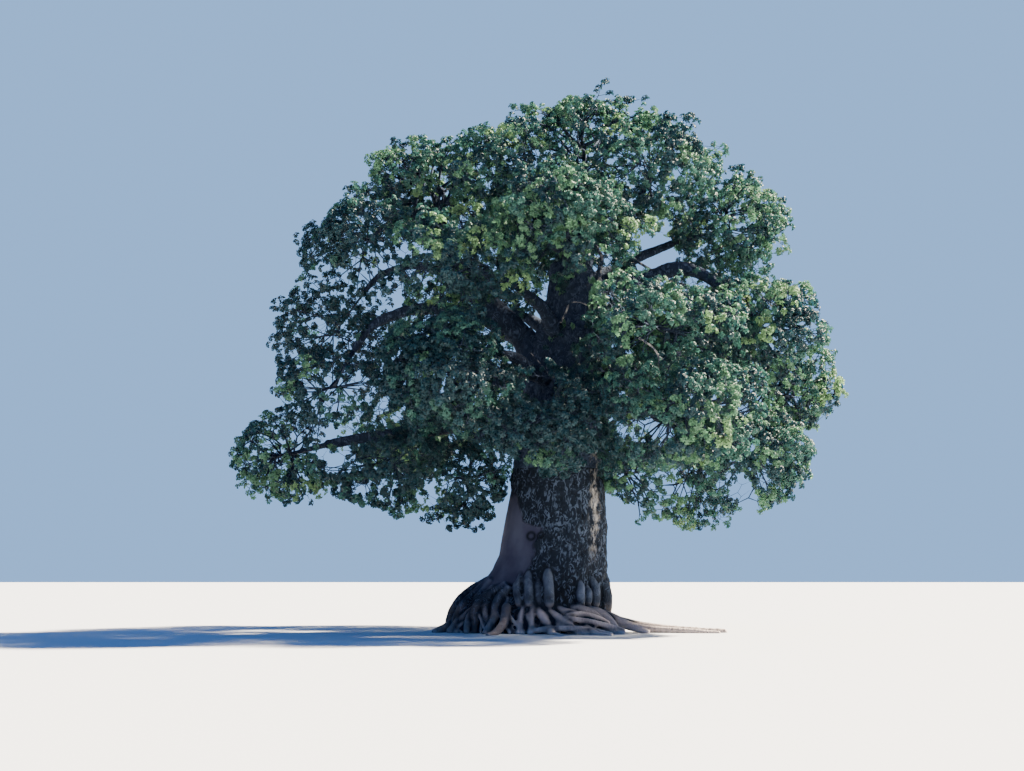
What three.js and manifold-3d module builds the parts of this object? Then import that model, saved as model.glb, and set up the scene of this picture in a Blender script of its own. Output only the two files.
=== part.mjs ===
// A full-grown baobab: one fat trunk on a flared foot, tapering boughs, and rounded masses of leaves.
// Millimetres, +Z up. The origin is the middle of the tree's foot on level ground, and -Y is its front.
import * as THREE from "three";
import { mergeVertices } from "three/addons/utils/BufferGeometryUtils.js";
import Module from "manifold-3d";

const wasm = await Module();
wasm.setup();

// The trunk, ring by ring: height, how far its middle leans to +X, and radius
const trunkRings = [
  [0, -680, 2520],
  [750, -520, 2320],
  [1500, -160, 2040],
  [2300, 165, 1785],
  [3300, 265, 1705],
  [5200, 420, 1510],
  [8200, 730, 1375],
  [9800, 850, 1230],
  [10700, 1020, 980],
  [11800, 1020, 820],
  [12600, 880, 560],
];
const trunkSides = 40;
const foldShare = 0.025; // how far the long folds of the trunk stand out, as a share of its radius
const footFoldShare = 0.075; // how much more they do at the ground
const footFoldHeight = 900; // above the ground, where that has mostly faded

// Limbs
const clear = 0.3; // between a limb and what it grows from or carries
const limbSides = 6;
const limbSteps = 6;
const tipShare = 0.4; // a bough's radius at its tip, as a share of that at its foot
const collarShare = 0.3; // how much a bough swells at its foot
const collarFade = 8; // how fast that fades along the bough
const sampleStep = 150; // between the places along a limb that sprays are kept clear of
const entry = 0.8; // a bough ends this far out in its mass, as a share of the mass's reach

// Surface roots: heading in degrees from +X towards the back, length from the tree's middle, foot's radius
const roots = [
  { name: "root_left", heading: 205, length: 4000, radius: 420 },
  { name: "root_front_left", heading: 248, length: 4300, radius: 400 },
  { name: "root_front_right", heading: 297, length: 4600, radius: 400 },
  { name: "root_right", heading: 346, length: 6100, radius: 380 },
];
const rootTipShare = 0.25; // a root's radius at its tip, as a share of that at its foot
const rootSteps = 8;
// Places along a root: share of its length, then swing to the side and height as shares of its radius
const rootCourse = [
  [0.28, 0, 0.9],
  [0.55, 1, 0.45],
  [0.8, -1, 0.28],
  [1, 0.5, 0.1],
];

// Crown. Each row is a mass of leaves and the bough that carries it: what it grows from, how far up that as
// a share, the point that the bough bends towards and its radius at the foot; then the middle and reach of
// the mass. An open mass is twigs and sprays only; the others have a core too.
const crown = [
  { name: "top", from: "trunk", at: 0.97, bend: [1500, 100, 14200], foot: 430,
    middle: [1400, 0, 16750], reach: [3150, 3400, 2200] },
  { name: "top_left", from: "top", at: 0.2, bend: [-200, -600, 13700], foot: 250,
    middle: [-1200, -1000, 15450], reach: [2850, 3400, 2200] },
  { name: "top_right", from: "top", at: 0.36, bend: [2800, -400, 13600], foot: 230,
    middle: [3650, -1200, 15550], reach: [2800, 3400, 2250] },
  { name: "crown_left", from: "trunk", at: 0.69, bend: [-2500, 200, 10900], foot: 520,
    middle: [-3950, 900, 15350], reach: [2850, 3500, 2150] },
  { name: "left_high", from: "crown_left", at: 0.8, bend: [-4600, -500, 14700], foot: 170,
    middle: [-6200, -1300, 12900], reach: [2350, 3200, 2200], open: true },
  { name: "left_mid", from: "crown_left", at: 0.68, bend: [-5000, 300, 13400], foot: 170,
    middle: [-7400, 900, 10250], reach: [2650, 3000, 2150], open: true },
  { name: "left_drop", from: "crown_left", at: 0.36, bend: [-5100, -1300, 11700], foot: 270,
    middle: [-7150, -1700, 7900], reach: [2350, 2900, 1900], open: true },
  { name: "left_low", from: "trunk", at: 0.57, bend: [-4100, -1200, 7000], foot: 350,
    middle: [-9050, 400, 5900], reach: [2150, 2700, 1800], open: true },
  { name: "left_skirt", from: "left_low", at: 0.46, bend: [-4100, -1300, 6900], foot: 190,
    middle: [-5500, -1400, 5500], reach: [2400, 3100, 1700] },
  { name: "foot_left", from: "trunk", at: 0.51, bend: [-2300, -1000, 7000], foot: 210,
    middle: [-2600, -900, 4900], reach: [1950, 2600, 1650], open: true },
  { name: "right_high", from: "trunk", at: 0.91, bend: [3600, 1300, 13300], foot: 270,
    middle: [6550, 1300, 14150], reach: [2500, 3500, 2300] },
  { name: "right_mid", from: "trunk", at: 0.9, bend: [4700, -1300, 12700], foot: 330,
    middle: [7250, -1400, 10150], reach: [2450, 3500, 2100] },
  { name: "right_wide", from: "trunk", at: 0.71, bend: [4700, 900, 9700], foot: 330,
    middle: [8350, 1400, 8300], reach: [2450, 3500, 2100] },
  { name: "right_low", from: "trunk", at: 0.59, bend: [3900, -900, 7900], foot: 310,
    middle: [6700, -1800, 5700], reach: [2400, 3300, 1900] },
  { name: "right_skirt", from: "right_low", at: 0.45, bend: [4700, 200, 7000], foot: 180,
    middle: [5000, 500, 5100], reach: [2150, 2900, 1900], open: true },
  { name: "foot_right", from: "trunk", at: 0.47,
    middle: [2900, -1000, 5250], reach: [1550, 2300, 1500] },
  { name: "front_top", from: "trunk", at: 0.86, bend: [800, -1500, 12400], foot: 270,
    middle: [600, -4400, 13000], reach: [2750, 3200, 2250] },
  { name: "front_left_high", from: "trunk", at: 0.77, bend: [-900, -3000, 11300], foot: 260,
    middle: [-3000, -4700, 11500], reach: [2500, 3200, 2050] },
  { name: "front_left", from: "trunk", at: 0.64, bend: [-1700, -3600, 9100], foot: 290,
    middle: [-3150, -5400, 8000], reach: [2700, 3300, 2200] },
  { name: "front_centre", from: "trunk", at: 0.58, bend: [300, -3600, 8300], foot: 240,
    middle: [150, -5100, 6550], reach: [2400, 3000, 1950] },
  { name: "front_right_high", from: "trunk", at: 0.74, bend: [2200, -2300, 10300], foot: 290,
    middle: [3450, -4900, 9500], reach: [2700, 3300, 2200] },
  { name: "front_right", from: "trunk", at: 0.61, bend: [2500, -3800, 8600], foot: 290,
    middle: [4000, -6000, 6750], reach: [2900, 3300, 2200] },
  { name: "back_top", from: "trunk", at: 0.89, bend: [900, 1800, 13200], foot: 270,
    middle: [250, 4200, 14900], reach: [3150, 3400, 2500] },
  { name: "back_left_high", from: "trunk", at: 0.78, bend: [-1000, 3000, 11600], foot: 260,
    middle: [-3300, 5200, 11600], reach: [2800, 3100, 2250], open: true },
  { name: "back_right_high", from: "trunk", at: 0.82, bend: [2800, 2900, 12000], foot: 270,
    middle: [5600, 5200, 11200], reach: [3150, 3300, 2200] },
  { name: "back_left", from: "trunk", at: 0.66, bend: [-2000, 3800, 9300], foot: 290,
    middle: [-5200, 5800, 7350], reach: [3250, 3400, 2050] },
  { name: "back_centre", from: "trunk", at: 0.72, bend: [700, 4200, 10200], foot: 270,
    middle: [450, 6800, 8450], reach: [3250, 3400, 2400] },
  { name: "back_right", from: "trunk", at: 0.63, bend: [3000, 3900, 9200], foot: 290,
    middle: [5400, 6000, 7850], reach: [3300, 3400, 2250] },
];

// Leaves, each standing for a spray, and the twigs that carry them
const spraysOfCored = 13;
const spraysOfOpen = 12;
const spraysOnTwig = 4; // the most that are rooted in one twig
const sprayRoot = 0.6; // where a spray is rooted, as a share of the mass's reach, before its twigs are drawn
const sprayTip = 0.98;
const sprayWidthShare = 0.85;
const sprayThickShare = 0.07;
const sprayWaist = 0.12; // how far past its middle a spray is widest
const sprayLean = 0.5; // how far a spray leans away from straight out
const sprayDroop = 0.3;
const shortestSpray = 900;
const sprayCut = 0.1; // a spray that leaves the space is shortened by this share at a time
const spaceBetween = 80; // between two masses
const limbRoom = 60; // between a spray and a limb
const coreShare = 0.72; // of the mass's reach
const coreStep = 0.02; // each corner of a core is drawn in by this share until it is in the mass's space
const stemShare = 0.8; // a stem's radius, as a share of its bough's at the tip
const stemReach = 0.75; // how far towards the middle of its mass a stem runs
const trunkStem = 110; // radius of a stem that grows from the trunk
const twigSides = 3;
const twigShare = 0.72; // a twig's radius, as a share of the one it grows from
const twigReach = 0.62; // how far towards its sprays each twig runs
const thinnestTwig = 34;
const sprayStep = 0.22; // from one spray's root to the next back along a twig, as a share of the twig
const turn = Math.PI * (3 - Math.sqrt(5)); // the angle that spreads directions evenly

const barkLight = { color: 0x8a7464, roughness: 0.95, metalness: 0 };
const barkDark = { color: 0x64554b, roughness: 0.95, metalness: 0 };
const rootBark = { color: 0x9a8270, roughness: 0.95, metalness: 0 };
const leafGreens = [0x3f5c33, 0x4a6a36, 0x56753c, 0x35512f];

// The same number between 0 and 1 each time for the same seed
function spread(seed) {
  const s = Math.sin(seed * 12.9898 + 4.1414) * 43758.5453;
  return s - Math.floor(s);
}

function solidOf(geometry) {
  geometry.deleteAttribute("normal");
  geometry.deleteAttribute("uv");
  const merged = mergeVertices(geometry);
  return new wasm.Manifold(new wasm.Mesh({
    numProp: 3,
    vertProperties: new Float32Array(merged.attributes.position.array),
    triVerts: new Uint32Array(merged.index.array),
  }));
}

// A boolean can leave loose scraps and sealed hollows: only the one solid that matters is kept, without them
function largest(solid) {
  return solid.decompose().reduce((best, piece) => (piece.volume() > best.volume() ? piece : best));
}

function meshOf(name, solid, origin, look) {
  const { numProp, vertProperties, triVerts } = solid.getMesh();
  const places = new Float32Array((vertProperties.length / numProp) * 3);
  for (let i = 0; i * 3 < places.length; i++) {
    places[i * 3] = vertProperties[i * numProp] - origin.x;
    places[i * 3 + 1] = vertProperties[i * numProp + 1] - origin.y;
    places[i * 3 + 2] = vertProperties[i * numProp + 2] - origin.z;
  }
  const geometry = new THREE.BufferGeometry();
  geometry.setAttribute("position", new THREE.BufferAttribute(places, 3));
  geometry.setIndex(new THREE.BufferAttribute(triVerts, 1));
  const mesh = new THREE.Mesh(geometry, new THREE.MeshStandardMaterial({ ...look, flatShading: true }));
  mesh.name = name;
  mesh.position.copy(origin);
  return mesh;
}

// Trunk
const trunkHeight = trunkRings.at(-1)[0];

function trunkAt(height) {
  const above = Math.max(1, trunkRings.findIndex(([z]) => z >= height));
  const [low, high] = [trunkRings[above - 1], trunkRings[above]];
  const share = (height - low[0]) / (high[0] - low[0]);
  return { lean: low[1] + share * (high[1] - low[1]), radius: low[2] + share * (high[2] - low[2]) };
}

function trunkMiddle(share) {
  const height = share * trunkHeight;
  return new THREE.Vector3(trunkAt(height).lean, 0, height);
}

function trunkFold(angle, height) {
  const folds = (Math.cos(5 * angle + 0.6) + 0.6 * Math.cos(8 * angle + 2.1)) / 1.6;
  return 1 + (foldShare + footFoldShare * Math.exp(-height / footFoldHeight)) * folds;
}

function trunkSolid(grow = 0) {
  const steps = trunkRings.length - 1;
  const geometry = new THREE.CylinderGeometry(1, 1, 1, trunkSides, steps);
  const place = geometry.attributes.position;
  for (let i = 0; i < place.count; i++) {
    const [x, y, z] = [place.getX(i), place.getY(i), place.getZ(i)];
    const [height, lean, radius] = trunkRings[Math.round((0.5 + y) * steps)];
    const reach = radius * trunkFold(Math.atan2(-z, x), height) + grow;
    const top = height === trunkHeight ? grow : 0;
    place.setXYZ(i, lean + x * reach, -z * reach, height + top);
  }
  return solidOf(geometry);
}

// A tapering limb round a curve; below the floor it is cut flat
function limbSolid({ curve, radiusAt, sides = limbSides, steps = limbSteps, floor = -Infinity }, grow = 0) {
  const geometry = new THREE.CylinderGeometry(1, 1, 1, sides, steps);
  const place = geometry.attributes.position;
  const { normals, binormals, tangents } = curve.computeFrenetFrames(steps);
  for (let i = 0; i < place.count; i++) {
    const step = Math.round((0.5 + place.getY(i)) * steps);
    const radius = radiusAt(step / steps) + grow;
    const point = curve.getPointAt(step / steps)
      .addScaledVector(normals[step], place.getX(i) * radius)
      .addScaledVector(binormals[step], -place.getZ(i) * radius)
      .addScaledVector(tangents[step], step === steps ? grow : 0);
    place.setXYZ(i, point.x, point.y, Math.max(floor, point.z));
  }
  return solidOf(geometry);
}

// How far out a point lies in a mass: 0 in its middle, 1 on its outside
function outness(mass, point) {
  return point.clone().sub(mass.middle).divide(mass.reach).length();
}

// A mass's own space is where it reaches, on its side of the flat boundary to each neighbour. It has no
// hollow side, so a shape whose corners are all in it is in it.
function inSpace(mass, point) {
  if (outness(mass, point) > 1 || point.z < 0)
    return false;
  return crown.every((other) => {
    if (other === mass)
      return true;
    const apart = other.middle.distanceTo(mass.middle);
    const balance = point.distanceToSquared(other.middle) - other.size ** 2
      - point.distanceToSquared(mass.middle) + mass.size ** 2;
    return balance / (2 * apart) > spaceBetween / 2;
  });
}

function nearLimb(point) {
  const trunk = trunkAt(Math.min(point.z, trunkHeight));
  if (point.z < trunkHeight && Math.hypot(point.x - trunk.lean, point.y) < trunk.radius + limbRoom)
    return true;
  return [...limbs.values()].some(({ samples }) =>
    samples.some(({ place, radius }) => place.distanceTo(point) < radius + limbRoom));
}

const limbs = new Map();

function addLimb(name, limb, parent) {
  const count = Math.ceil(limb.curve.getLength() / sampleStep);
  const samples = limb.curve.getSpacedPoints(count).map((place, i) =>
    ({ place, radius: limb.radiusAt(i / count) }));
  limbs.set(name, {
    ...limb,
    samples,
    solid: largest(limbSolid(limb).subtract(parent)),
    grown: limbSolid(limb, clear),
  });
}

for (const mass of crown) {
  mass.middle = new THREE.Vector3(...mass.middle);
  mass.reach = new THREE.Vector3(...mass.reach);
  mass.size = (mass.reach.x + mass.reach.y + mass.reach.z) / 3;
}

const trunk = trunkSolid();
const trunkGrown = trunkSolid(clear);

for (const root of roots) {
  const angle = THREE.MathUtils.degToRad(root.heading);
  const away = new THREE.Vector3(Math.cos(angle), Math.sin(angle), 0);
  const across = new THREE.Vector3(-away.y, away.x, 0);
  const curve = new THREE.CatmullRomCurve3(rootCourse.map(([share, side, height]) =>
    away.clone().multiplyScalar(root.length * share)
      .addScaledVector(across, side * root.radius)
      .setZ(height * root.radius)));
  const radiusAt = (t) => root.radius * (1 - (1 - rootTipShare) * t);
  addLimb(root.name, { curve, radiusAt, steps: rootSteps, floor: 0 }, trunkGrown);
}

for (const mass of crown.filter(({ bend }) => bend)) {
  const parent = limbs.get("bough_" + mass.from);
  const start = parent ? parent.curve.getPointAt(mass.at) : trunkMiddle(mass.at);
  const bend = new THREE.Vector3(...mass.bend);
  const tip = bend.clone().sub(mass.middle).multiplyScalar(entry / outness(mass, bend)).add(mass.middle);
  mass.bough = "bough_" + mass.name;
  addLimb(mass.bough, {
    curve: new THREE.QuadraticBezierCurve3(start, bend, tip),
    radiusAt: (t) => mass.foot * (1 - (1 - tipShare) * t + collarShare * Math.exp(-collarFade * t)),
  }, parent ? parent.grown : trunkGrown);
}

// Masses of leaves
const limbSpace = [...limbs.values()].reduce((all, { grown }) => all.add(grown), trunkGrown);

function twigSolid(from, to, radius, nextRadius) {
  const back = to.clone().sub(from).setLength(radius);
  return limbSolid({
    curve: new THREE.LineCurve3(from.clone().sub(back), to),
    radiusAt: (t) => radius + (nextRadius - radius) * t,
    sides: twigSides,
    steps: 1,
  });
}

function spraySolid(root, tip, outward) {
  const length = root.distanceTo(tip);
  const along = tip.clone().sub(root).normalize();
  const face = outward.clone().addScaledVector(along, -outward.dot(along)).normalize();
  const geometry = new THREE.OctahedronGeometry(0.5);
  const place = geometry.attributes.position;
  for (let i = 0; i < place.count; i++) {
    const waist = Math.abs(place.getZ(i)) < 0.1 ? sprayWaist : 0;
    place.setXYZ(i,
      place.getX(i) * length * sprayThickShare,
      place.getY(i) * length * sprayWidthShare,
      (place.getZ(i) + waist) * length);
  }
  geometry.applyMatrix4(new THREE.Matrix4()
    .makeBasis(face, along.clone().cross(face), along)
    .setPosition(root.clone().add(tip).multiplyScalar(0.5)));
  const corners = [...Array(place.count).keys()]
    .map((i) => new THREE.Vector3().fromBufferAttribute(place, i));
  return { solid: solidOf(geometry), corners };
}

// Directions spread evenly round a mass, each shaken a little, with the way that its spray leans
function sprayTargets(mass, seed) {
  const count = mass.open ? spraysOfOpen : spraysOfCored;
  return [...Array(count).keys()].map((i) => {
    const up = 1 - (2 * i + 1) / count;
    const round = i * turn + seed;
    const flat = Math.sqrt(1 - up * up);
    const out = new THREE.Vector3(flat * Math.cos(round), flat * Math.sin(round), up);
    const aside = new THREE.Vector3(
      spread(seed + 3 * i) - 0.5,
      spread(seed + 3 * i + 1) - 0.5,
      spread(seed + 3 * i + 2) - 0.5 - sprayDroop,
    );
    aside.addScaledVector(out, -aside.dot(out)).normalize();
    const towards = out.clone().addScaledVector(aside, sprayLean).normalize();
    return {
      out,
      root: out.clone().multiply(mass.reach).multiplyScalar(sprayRoot).add(mass.middle),
      tip: towards.multiply(mass.reach).multiplyScalar(sprayTip).add(mass.middle),
    };
  });
}

// Draws the twigs from one point to a set of sprays: the set is halved across its longest side, a twig runs
// part of the way to each half, and the last few sprays are rooted in its end
function branch(mass, from, targets, radius, pieces) {
  const box = new THREE.Box3().setFromPoints(targets.map(({ root }) => root));
  const size = box.getSize(new THREE.Vector3());
  const axis = ["x", "y", "z"].reduce((best, name) => (size[name] > size[best] ? name : best));
  const sorted = [...targets].sort((a, b) => a.root[axis] - b.root[axis]);
  const half = Math.ceil(sorted.length / 2);
  for (const part of [sorted.slice(0, half), sorted.slice(half)]) {
    const heart = part.reduce((sum, { root }) => sum.add(root), new THREE.Vector3())
      .divideScalar(part.length);
    const next = from.clone().lerp(heart, twigReach);
    const nextRadius = Math.max(thinnestTwig, radius * twigShare);
    if (!inSpace(mass, next) || nearLimb(next))
      continue;
    pieces.push(twigSolid(from, next, radius, nextRadius));
    if (part.length > spraysOnTwig)
      branch(mass, next, part, nextRadius, pieces);
    else
      part.forEach(({ tip, out }, i) =>
        addSpray(mass, next.clone().lerp(from, sprayStep * (i + 0.7)), tip, out, pieces));
  }
}

// A spray that would leave its mass's space is made shorter. One that gets too short, or that touches a limb,
// is left out.
function addSpray(mass, root, tip, outward, pieces) {
  for (let share = 1; root.distanceTo(tip) * share > shortestSpray; share -= sprayCut) {
    const { solid, corners } = spraySolid(root, root.clone().lerp(tip, share), outward);
    if (!corners.every((corner) => inSpace(mass, corner)))
      continue;
    const middle = root.clone().lerp(tip, share / 2);
    if (![...corners, middle].some(nearLimb))
      pieces.push(solid);
    return;
  }
}

function coreSolid(mass) {
  const geometry = new THREE.IcosahedronGeometry(1);
  const place = geometry.attributes.position;
  for (let i = 0; i < place.count; i++) {
    const out = new THREE.Vector3().fromBufferAttribute(place, i).multiply(mass.reach);
    let share = coreShare;
    while (!inSpace(mass, out.clone().multiplyScalar(share).add(mass.middle)))
      share -= coreStep;
    place.setXYZ(i, ...out.multiplyScalar(share));
  }
  geometry.translate(...mass.middle);
  return solidOf(geometry);
}

function massSolid(mass, seed) {
  const bough = limbs.get(mass.bough);
  const start = bough ? bough.curve.getPoint(1) : trunkMiddle(mass.at);
  const radius = bough ? bough.radiusAt(1) * stemShare : trunkStem;
  const heart = start.clone().lerp(mass.middle, stemReach);
  const stem = limbSolid({
    curve: new THREE.LineCurve3(start, heart),
    radiusAt: (t) => radius * (1 - (1 - twigShare) * t),
    sides: twigSides,
    steps: 1,
  });
  const pieces = [];
  branch(mass, heart, sprayTargets(mass, seed), radius * twigShare, pieces);
  if (!mass.open)
    pieces.push(coreSolid(mass));
  return largest(pieces.reduce((all, piece) => all.add(piece), stem).subtract(limbSpace));
}

const tree = new THREE.Group();
const wood = new THREE.Group();
const leaves = new THREE.Group();
tree.add(wood, leaves);
wood.add(meshOf("trunk", trunk, new THREE.Vector3(), barkLight));
for (const [name, { solid, curve }] of limbs)
  wood.add(meshOf(name, solid, curve.getPoint(0), name.startsWith("root") ? rootBark : barkDark));
crown.forEach((mass, i) => {
  const look = { color: leafGreens[i % leafGreens.length], roughness: 0.8, metalness: 0 };
  leaves.add(meshOf("leaves_" + mass.name, massSolid(mass, i * 100), mass.middle, look));
});

export default tree;
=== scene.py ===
import math

import bpy
import numpy as np
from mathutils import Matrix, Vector, noise


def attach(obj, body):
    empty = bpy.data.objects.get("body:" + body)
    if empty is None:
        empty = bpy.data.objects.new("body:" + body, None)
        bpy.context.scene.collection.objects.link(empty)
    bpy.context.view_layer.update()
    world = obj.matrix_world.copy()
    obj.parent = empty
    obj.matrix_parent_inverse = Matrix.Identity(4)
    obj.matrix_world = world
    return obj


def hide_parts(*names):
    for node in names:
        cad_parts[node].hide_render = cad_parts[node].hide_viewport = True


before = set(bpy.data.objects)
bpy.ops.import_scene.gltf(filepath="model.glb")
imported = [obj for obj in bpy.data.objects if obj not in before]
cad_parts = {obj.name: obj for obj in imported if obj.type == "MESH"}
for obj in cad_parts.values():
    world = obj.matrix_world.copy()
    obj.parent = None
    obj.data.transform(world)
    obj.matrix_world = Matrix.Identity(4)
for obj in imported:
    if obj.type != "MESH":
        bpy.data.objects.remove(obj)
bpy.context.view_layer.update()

# A full-grown baobab seen from its front, in metres, +Z up, standing on level ground at the origin.
print("frame loaded")

view = {
    "eye": (-1.122, -50.0, 1.8),  # 50 m in front of the trunk, at standing height
    "pitch": 7.42,  # degrees up
    "lens": 51.68,
    "sensor": 36.0,
}
studio = {
    "floorSize": 900.0,
    "floorColour": "BFC2C6",
    "airColour": "62A0FF",
    "airStrength": 0.72,
    "backdrop": "8FBDF6",  # what the camera sees behind the tree
    "backdropStrength": 1.2,
    "keyFrom": (0.66, 0.29, 0.69),  # high on the right and a little behind
    "keyColour": "FFEFD6",
    "keyStrength": 46.0,
    "keyWidth": 4.0,  # degrees across, so that its shadows have soft edges
    "fillFrom": (0.2, -0.85, 0.35),  # a broad cool light that fills the shade
    "fillColour": "8FB4EE",
    "fillStrength": 0.2,
    "fillWidth": 70.0,
}


def pickOnly(*pieces):
    bpy.ops.object.select_all(action="DESELECT")
    for piece in pieces:
        piece.select_set(True)
    bpy.context.view_layer.objects.active = pieces[0]


def linear(hexColour):
    parts = [int(hexColour[i:i + 2], 16) / 255 for i in (0, 2, 4)]
    return tuple(c / 12.92 if c <= 0.04045 else ((c + 0.055) / 1.055) ** 2.4 for c in parts) + (1.0,)


def newMaterial(name):
    material = bpy.data.materials.new(name)
    material.use_nodes = True
    material.node_tree.nodes.clear()
    return material


def addNode(material, kind, settings=None, inputs=None):
    # Inputs are set to a value or linked to another node: to the output given, or else to its first
    node = material.node_tree.nodes.new("ShaderNode" + kind)
    for name, value in (settings or {}).items():
        setattr(node, name, value)
    for name, value in (inputs or {}).items():
        if isinstance(value, bpy.types.Node):
            value = value.outputs[0]
        if isinstance(value, bpy.types.NodeSocket):
            material.node_tree.links.new(value, node.inputs[name])
        else:
            node.inputs[name].default_value = value
    return node


def setRamp(node, stops):
    ramp = node.color_ramp
    while len(ramp.elements) < len(stops):
        ramp.elements.new(0.5)
    for element, (place, colour) in zip(ramp.elements, stops):
        element.position = place
        element.color = linear(colour)


# Camera, floor and light
bpy.ops.object.camera_add(location=view["eye"], rotation=(math.radians(90 + view["pitch"]), 0, 0))
camera = bpy.context.object
camera.data.lens = view["lens"]
camera.data.sensor_width = view["sensor"]
camera.data.sensor_fit = "HORIZONTAL"
camera.data.clip_end = 2000
bpy.context.scene.camera = camera

bpy.ops.object.select_all(action="DESELECT")
bpy.ops.mesh.primitive_plane_add(size=studio["floorSize"])
floor = bpy.context.object
floor.name = "studio_floor"
floorPaint = newMaterial("matt_studio_floor")
shader = addNode(floorPaint, "BsdfPrincipled", inputs={
    "Base Color": linear(studio["floorColour"]), "Roughness": 0.9})
addNode(floorPaint, "OutputMaterial", inputs={"Surface": shader})
floor.data.materials.append(floorPaint)

for part in ("key", "fill"):
    turned = Vector(studio[part + "From"]).to_track_quat("Z", "Y").to_euler()
    bpy.ops.object.light_add(type="SUN", rotation=turned)
    lamp = bpy.context.object.data
    lamp.energy = studio[part + "Strength"]
    lamp.color = linear(studio[part + "Colour"])[:3]
    lamp.angle = math.radians(studio[part + "Width"])

world = bpy.data.worlds.new("studio_air")
bpy.context.scene.world = world
world.use_nodes = True
world.node_tree.nodes.clear()
air = addNode(world, "Background", inputs={
    "Color": linear(studio["airColour"]), "Strength": studio["airStrength"]})
backdrop = addNode(world, "Background", inputs={
    "Color": linear(studio["backdrop"]), "Strength": studio["backdropStrength"]})
seen = addNode(world, "LightPath").outputs["Is Camera Ray"]
chosen = addNode(world, "MixShader", inputs={0: seen, 1: air, 2: backdrop})
addNode(world, "OutputWorld", inputs={"Surface": chosen})
print("stage set")

# The tree's plan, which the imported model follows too. The trunk goes ring by ring: height, how far its middle
# leans to +X, and radius.
trunkRings = [
    (0, -0.68, 2.52), (0.75, -0.52, 2.32), (1.5, -0.16, 2.04), (2.3, 0.165, 1.785), (3.3, 0.265, 1.705),
    (5.2, 0.42, 1.51), (8.2, 0.73, 1.375), (9.8, 0.85, 1.23), (10.7, 1.02, 0.98), (11.8, 1.02, 0.82),
    (12.6, 0.88, 0.56),
]
limbPlan = {
    "tipShare": 0.4,  # a bough's radius at its tip, as a share of that at its foot
    "collarShare": 0.3,  # how much a bough swells at its foot
    "collarFade": 8,
    "entry": 0.8,  # a bough ends this far out in its mass of leaves, as a share of the mass's reach
    "sampleStep": 0.15,
    "room": 0.06,  # between leaves and a limb
}
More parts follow.
